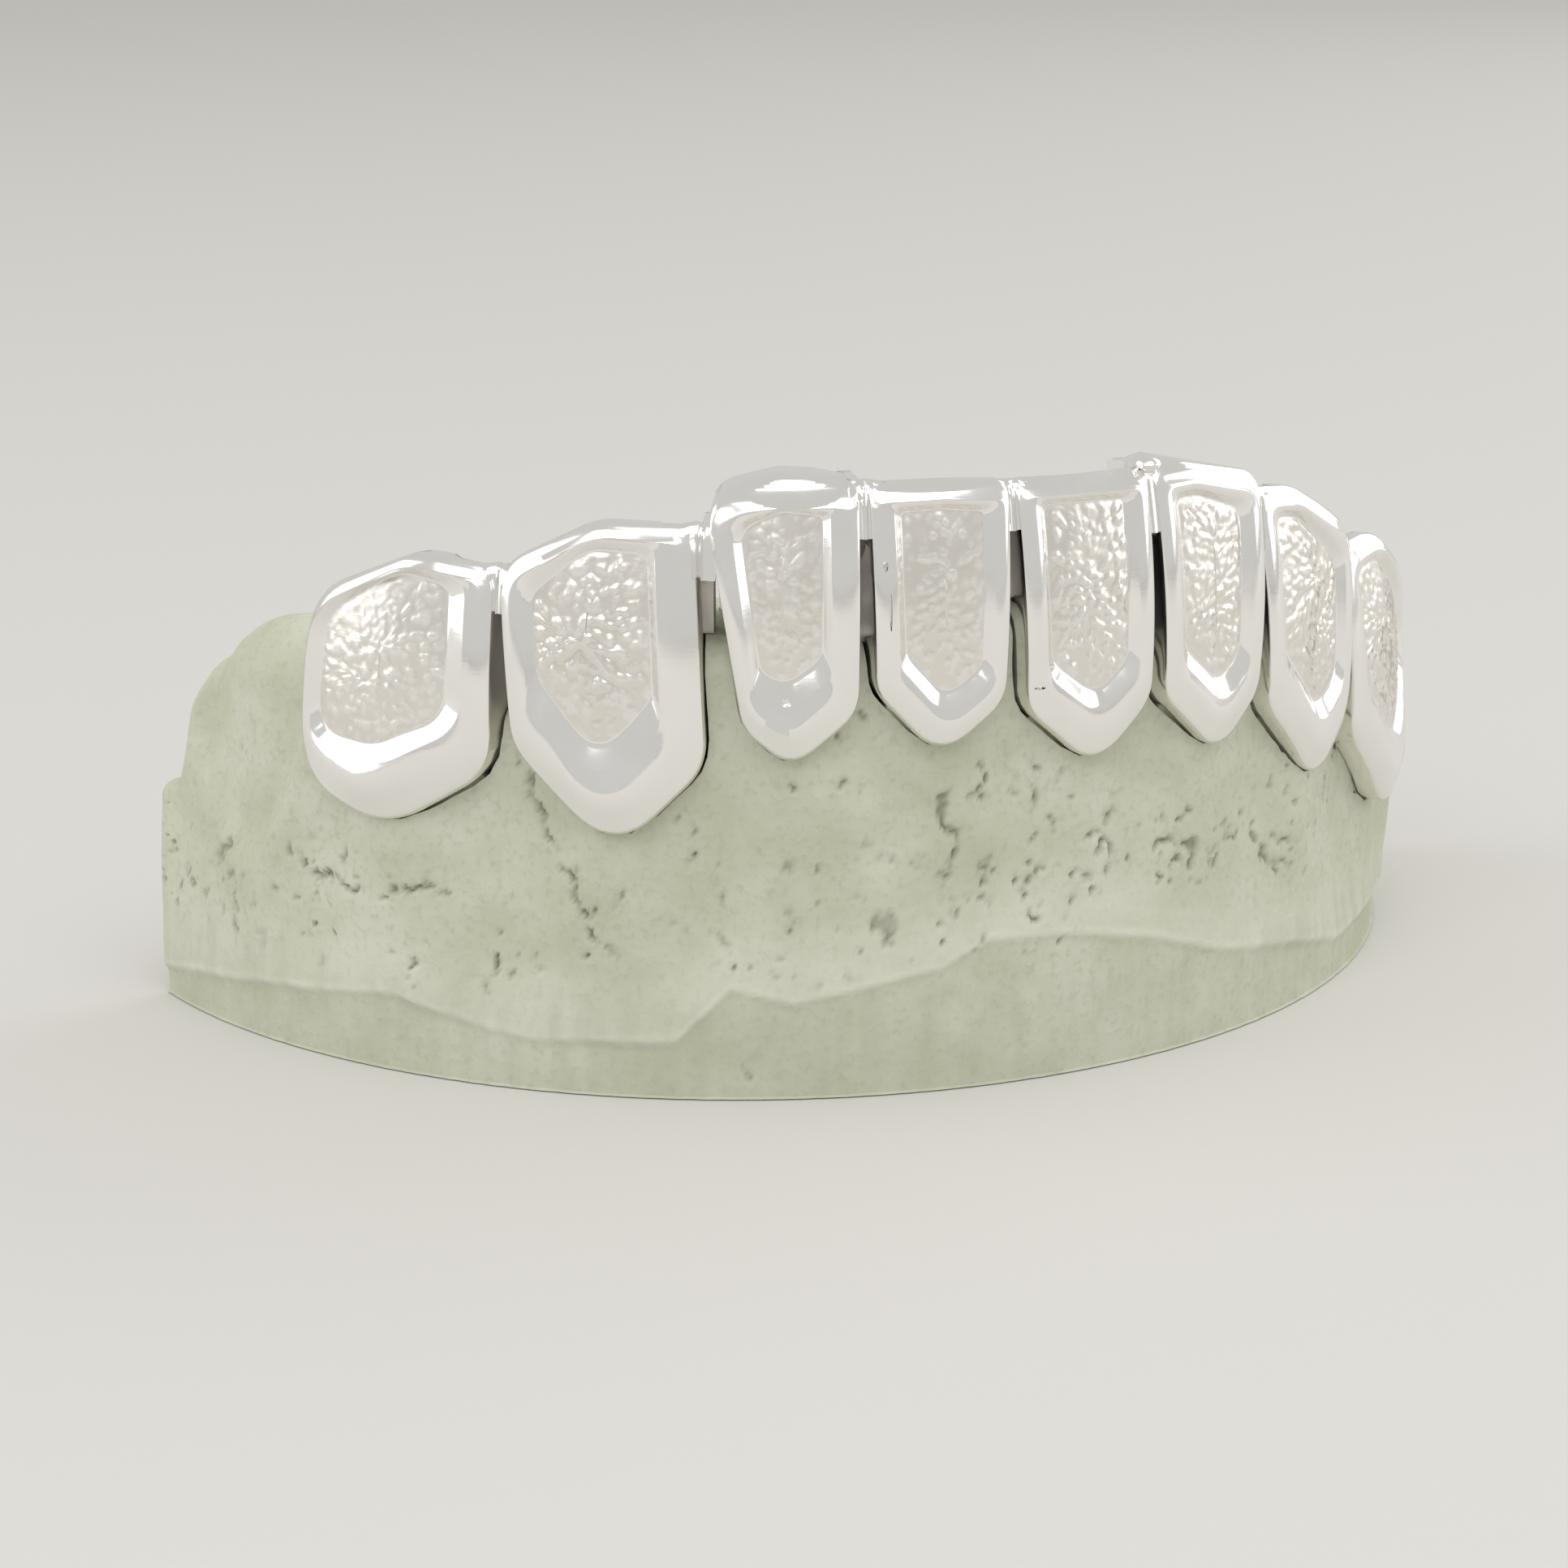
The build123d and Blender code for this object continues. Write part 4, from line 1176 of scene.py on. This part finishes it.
class StoneSizes(bpy.types.PropertyGroup):
    """Sizes and finish of the stone cast."""

    columns: bpy.props.IntProperty(
        name="Columns", description="Divisions round the arch", default=521, min=101, max=900)
    wall_rows: bpy.props.IntProperty(
        name="Wall rows", description="Divisions up the outer wall", default=92, min=20, max=160)
    seat_gap: bpy.props.FloatProperty(
        name="Seat gap", description="Clearance round the caps, in millimetres", default=0.08, min=0.03, max=0.3)
    pit_spacing: bpy.props.FloatProperty(
        name="Pit spacing", description="Size of the cells that hold the pits", default=0.42 * MM, unit="LENGTH",
        precision=5)
    pit_depth: bpy.props.FloatProperty(
        name="Pit depth", description="Depth of the pits and cracks", default=0.18 * MM, unit="LENGTH", precision=5)
    line_spacing: bpy.props.FloatProperty(
        name="Line spacing", description="Spacing of the grinding lines", default=0.55 * MM, unit="LENGTH",
        precision=5)
    line_depth: bpy.props.FloatProperty(
        name="Line depth", description="Depth of the grinding lines", default=0.08 * MM, unit="LENGTH", precision=5)


class StageLook(bpy.types.PropertyGroup):
    """Floor and lights."""

    floor_radius: bpy.props.FloatProperty(
        name="Floor radius", description="Radius of the pale floor", default=1.6, unit="LENGTH")
    key_power: bpy.props.FloatProperty(
        name="Key light", description="Power of the key light in watts", default=0.22, min=0)
    fill_power: bpy.props.FloatProperty(
        name="Fill light", description="Power of the fill light in watts", default=0.12, min=0)
    top_power: bpy.props.FloatProperty(
        name="Top light", description="Power of the light overhead in watts", default=0.55, min=0)
    side_power: bpy.props.FloatProperty(
        name="Side lights", description="Power of each wide light beside the part in watts", default=0.5, min=0)
    world_strength: bpy.props.FloatProperty(
        name="Room light", description="Strength of the even light of the room", default=0.70, min=0)


# A piece with fewer faces than this was lost on the way
FEWEST_FACES = 1000

# Edges sharper than this stay crisp, in degrees
SILVER_CREASE = 38
STONE_CREASE = 45


class GRILLZ_OT_casting(bpy.types.Operator):
    """Build the silver casting: eight hollow caps, their windows and the joints between them"""

    bl_idname = "grillz.casting"
    bl_label = "Silver casting"

    def execute(self, context):
        silver = context.scene.grillz_silver
        polished = make_silver("Sterling silver, cast and polished", ("F3F1EE", "FAF9F7"), silver.roughness, 0.05)
        nugget = make_silver("Sterling silver, nugget texture", ("EFECE8", "F9F7F4"), silver.roughness * 2.1, 0.3,
                             "ECE8E1")
        caps, saddles, webs, marks = Dressing(), Dressing(), Dressing(), Dressing()
        for tooth, finish in zip(TEETH, FINISHES):
            CapForm(tooth, finish, silver).add_to(caps)
        casting = caps.build("grillz_casting_dressed", (polished, nugget))
        face_outwards(casting)
        apply_tree(casting, grain_tree(nugget, polished),
                   {"Grain spacing": silver.grain_spacing, "Grain rise": silver.grain_rise})
        for k, joint in enumerate(JOINTS):
            add_joint(saddles, webs, TEETH[k:k + 2], FINISHES[k:k + 2], joint, silver)
        angle, share, depth, radii = KNOB
        add_blob(webs, angle, height(share), ARCH_RADIUS - depth, radii)
        hollows = crown_bodies(LABIAL_WALL, SIDE_WALL, LINGUAL_WALL, BITE_WALL, 0, True)
        for angle, level, across, up, depth in PORES:
            tooth = next(tooth for tooth in TEETH if tooth.start <= angle <= tooth.stop)
            offset = ARCH_RADIUS * radians(angle - middle(tooth))
            surface = face_radius(tooth, np.array([offset]), level)[0]
            add_blob(marks, angle, level, surface, (across, up, depth))
        add_blob(marks, *FACET, turns=120, rows=60)
        for name, bodies, operation in (("webs", webs, "UNION"), ("saddles", saddles, "UNION"),
                                        ("hollows", hollows, "DIFFERENCE"), ("pores", marks, "DIFFERENCE")):
            merge(casting, name, bodies, operation, (polished, nugget))
        if len(casting.data.polygons) < FEWEST_FACES:
            raise RuntimeError("the silver casting has lost its faces")
        # Silver in the saw cuts: rougher, as unpolished metal is, and darker in colour, which paints the shade
        # inside the cuts
        casting.data.materials.append(make_silver("Sterling silver, dull in the saw cuts", ("D8D3CD", "E6E2DC"),
                                                  0.5, 0.3))
        dull_and_shade_cuts(casting, len(casting.data.materials) - 1)
        smooth_by_angle(casting, SILVER_CREASE)
        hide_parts("grillz_casting")
        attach(casting, "root")
        return {"FINISHED"}


class GRILLZ_OT_cast(bpy.types.Operator):
    """Build the stone cast: trimmed band, gum over the roots, seats of the caps and the teeth inside them"""

    bl_idname = "grillz.stone_cast"
    bl_label = "Stone cast"

    def execute(self, context):
        stone = context.scene.grillz_stone
        gap = stone.seat_gap
        cast = add_sweep(stone)
        slots = Dressing()
        for left, joint in zip(TEETH, JOINTS):
            front = ARCH_RADIUS - WEB_SINK + gap
            levels = (height(joint.web_foot) - gap, height(joint.top))
            add_web(slots, left.stop, levels, front, front - WEB_DEPTH - 2 * gap)
        seats = crown_bodies(-gap, -gap, -gap, -gap, -gap, False)
        stumps = crown_bodies(LABIAL_WALL + gap, SIDE_WALL + gap, LINGUAL_WALL + gap, BITE_WALL + gap, 0, True)
        for name, bodies, operation in (("seats", seats, "DIFFERENCE"), ("slots", slots, "DIFFERENCE"),
                                        ("stumps", stumps, "UNION")):
            merge(cast, name, bodies, operation)
        mark_stone(cast)
        apply_tree(cast, relief_tree(make_stone()), {
            "Pit spacing": stone.pit_spacing, "Pit depth": stone.pit_depth,
            "Line spacing": stone.line_spacing, "Line depth": stone.line_depth, "Arch centre": ARCH_CENTRE * MM})
        if len(cast.data.polygons) < FEWEST_FACES:
            raise RuntimeError("the stone cast has lost its faces")
        smooth_by_angle(cast, STONE_CREASE)
        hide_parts("stone_cast")
        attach(cast, "root")
        return {"FINISHED"}


FLOOR_SIDES = 96

# Soft lights: name, the look's setting for its power, size and place in metres
LIGHTS = (
    ("key", "key_power", 0.20, (-0.24, -0.22, 0.26)),
    ("fill", "fill_power", 0.20, (0.30, -0.16, 0.12)),
    ("top", "top_power", 0.32, (0.0, -0.26, 0.40)),
    ("left", "side_power", 0.40, (-0.42, 0.14, 0.20)),
    ("right", "side_power", 0.40, (0.42, 0.12, 0.20)),
)
LIT_PLACE = (0, 0, 0.012)

# Camera that was fitted to the photograph: focal length and sensor, degrees round from the front and up,
# then distance, aim above the foot and aim to the right of the arch's middle in millimetres
LENS = 86.27
SENSOR = 36
CAMERA_TURN = 22.19
CAMERA_LIFT = 15.43
CAMERA_DISTANCE = 140.0
AIM_UP = 3.94
AIM_RIGHT = 1.49
NEAREST_SEEN = 0.005


def aim(item, place, target):
    """Place a light or camera and point it at a target, both in metres."""
    item.location = place
    item.rotation_euler = (Vector(target) - Vector(place)).to_track_quat("-Z", "Y").to_euler()
    bpy.context.scene.collection.objects.link(item)


class GRILLZ_OT_stage(bpy.types.Operator):
    """Build the pale floor, the soft lights and the camera at the photograph's viewing angle"""

    bl_idname = "grillz.stage"
    bl_label = "Stage"

    def execute(self, context):
        look = context.scene.grillz_stage
        scene = context.scene
        rim = bmesh.new()
        bmesh.ops.create_circle(rim, cap_ends=True, segments=FLOOR_SIDES, radius=look.floor_radius)
        disc = bpy.data.meshes.new("floor")
        rim.to_mesh(disc)
        rim.free()
        floor = bpy.data.objects.new("floor", disc)
        scene.collection.objects.link(floor)
        paper = bpy.data.materials.new("Matt pale paper")
        paper.use_nodes = True
        skin = paper.node_tree.nodes["Principled BSDF"]
        skin.inputs["Base Color"].default_value = linear("D9D7D3")
        skin.inputs["Roughness"].default_value = 0.9
        disc.materials.append(paper)
        room = bpy.data.worlds.new("Soft room light")
        room.use_nodes = True
        room.node_tree.nodes["Background"].inputs["Color"].default_value = linear("F2F1EE")
        room.node_tree.nodes["Background"].inputs["Strength"].default_value = look.world_strength
        scene.world = room
        for name, power, size, place in LIGHTS:
            lamp = bpy.data.lights.new(name, "AREA")
            lamp.energy = getattr(look, power)
            lamp.size = size
            aim(bpy.data.objects.new(name, lamp), place, LIT_PLACE)
        lens = bpy.data.cameras.new("camera")
        lens.lens = LENS
        lens.sensor_width = SENSOR
        lens.clip_start = NEAREST_SEEN
        turn, lift = radians(CAMERA_TURN), radians(CAMERA_LIFT)
        right = Vector((cos(turn), -sin(turn), 0))
        back = Vector((-sin(turn) * cos(lift), -cos(turn) * cos(lift), sin(lift)))
        target = Vector((0, ARCH_CENTRE, AIM_UP)) + right * AIM_RIGHT
        camera = bpy.data.objects.new("camera", lens)
        aim(camera, (target + back * CAMERA_DISTANCE) * MM, target * MM)
        scene.camera = camera
        scene.view_settings.view_transform = "Standard"
        return {"FINISHED"}


class GRILLZ_PT_panel(bpy.types.Panel):
    """Lists the pieces and their sizes"""

    bl_label = "Grillz"
    bl_idname = "GRILLZ_PT_panel"
    bl_space_type = "VIEW_3D"
    bl_region_type = "UI"
    bl_category = "Grillz"

    def draw(self, context):
        groups = (("grillz_silver", "grillz.casting"), ("grillz_stone", "grillz.stone_cast"),
                  ("grillz_stage", "grillz.stage"))
        for name, operator in groups:
            sizes = getattr(context.scene, name)
            box = self.layout.box()
            for size in sizes.bl_rna.properties:
                if size.identifier not in {"rna_type", "name"}:
                    box.prop(sizes, size.identifier)
            box.operator(operator)


CLASSES = (SilverSizes, StoneSizes, StageLook, GRILLZ_OT_casting, GRILLZ_OT_cast, GRILLZ_OT_stage, GRILLZ_PT_panel)


def register():
    for item in CLASSES:
        bpy.utils.register_class(item)
    bpy.types.Scene.grillz_silver = bpy.props.PointerProperty(type=SilverSizes)
    bpy.types.Scene.grillz_stone = bpy.props.PointerProperty(type=StoneSizes)
    bpy.types.Scene.grillz_stage = bpy.props.PointerProperty(type=StageLook)


def unregister():
    for name in ("grillz_silver", "grillz_stone", "grillz_stage"):
        delattr(bpy.types.Scene, name)
    for item in reversed(CLASSES):
        bpy.utils.unregister_class(item)


def main():
    register()
    bpy.ops.grillz.casting()
    bpy.ops.grillz.stone_cast()
    bpy.ops.grillz.stage()


if __name__ == "__main__":
    main()
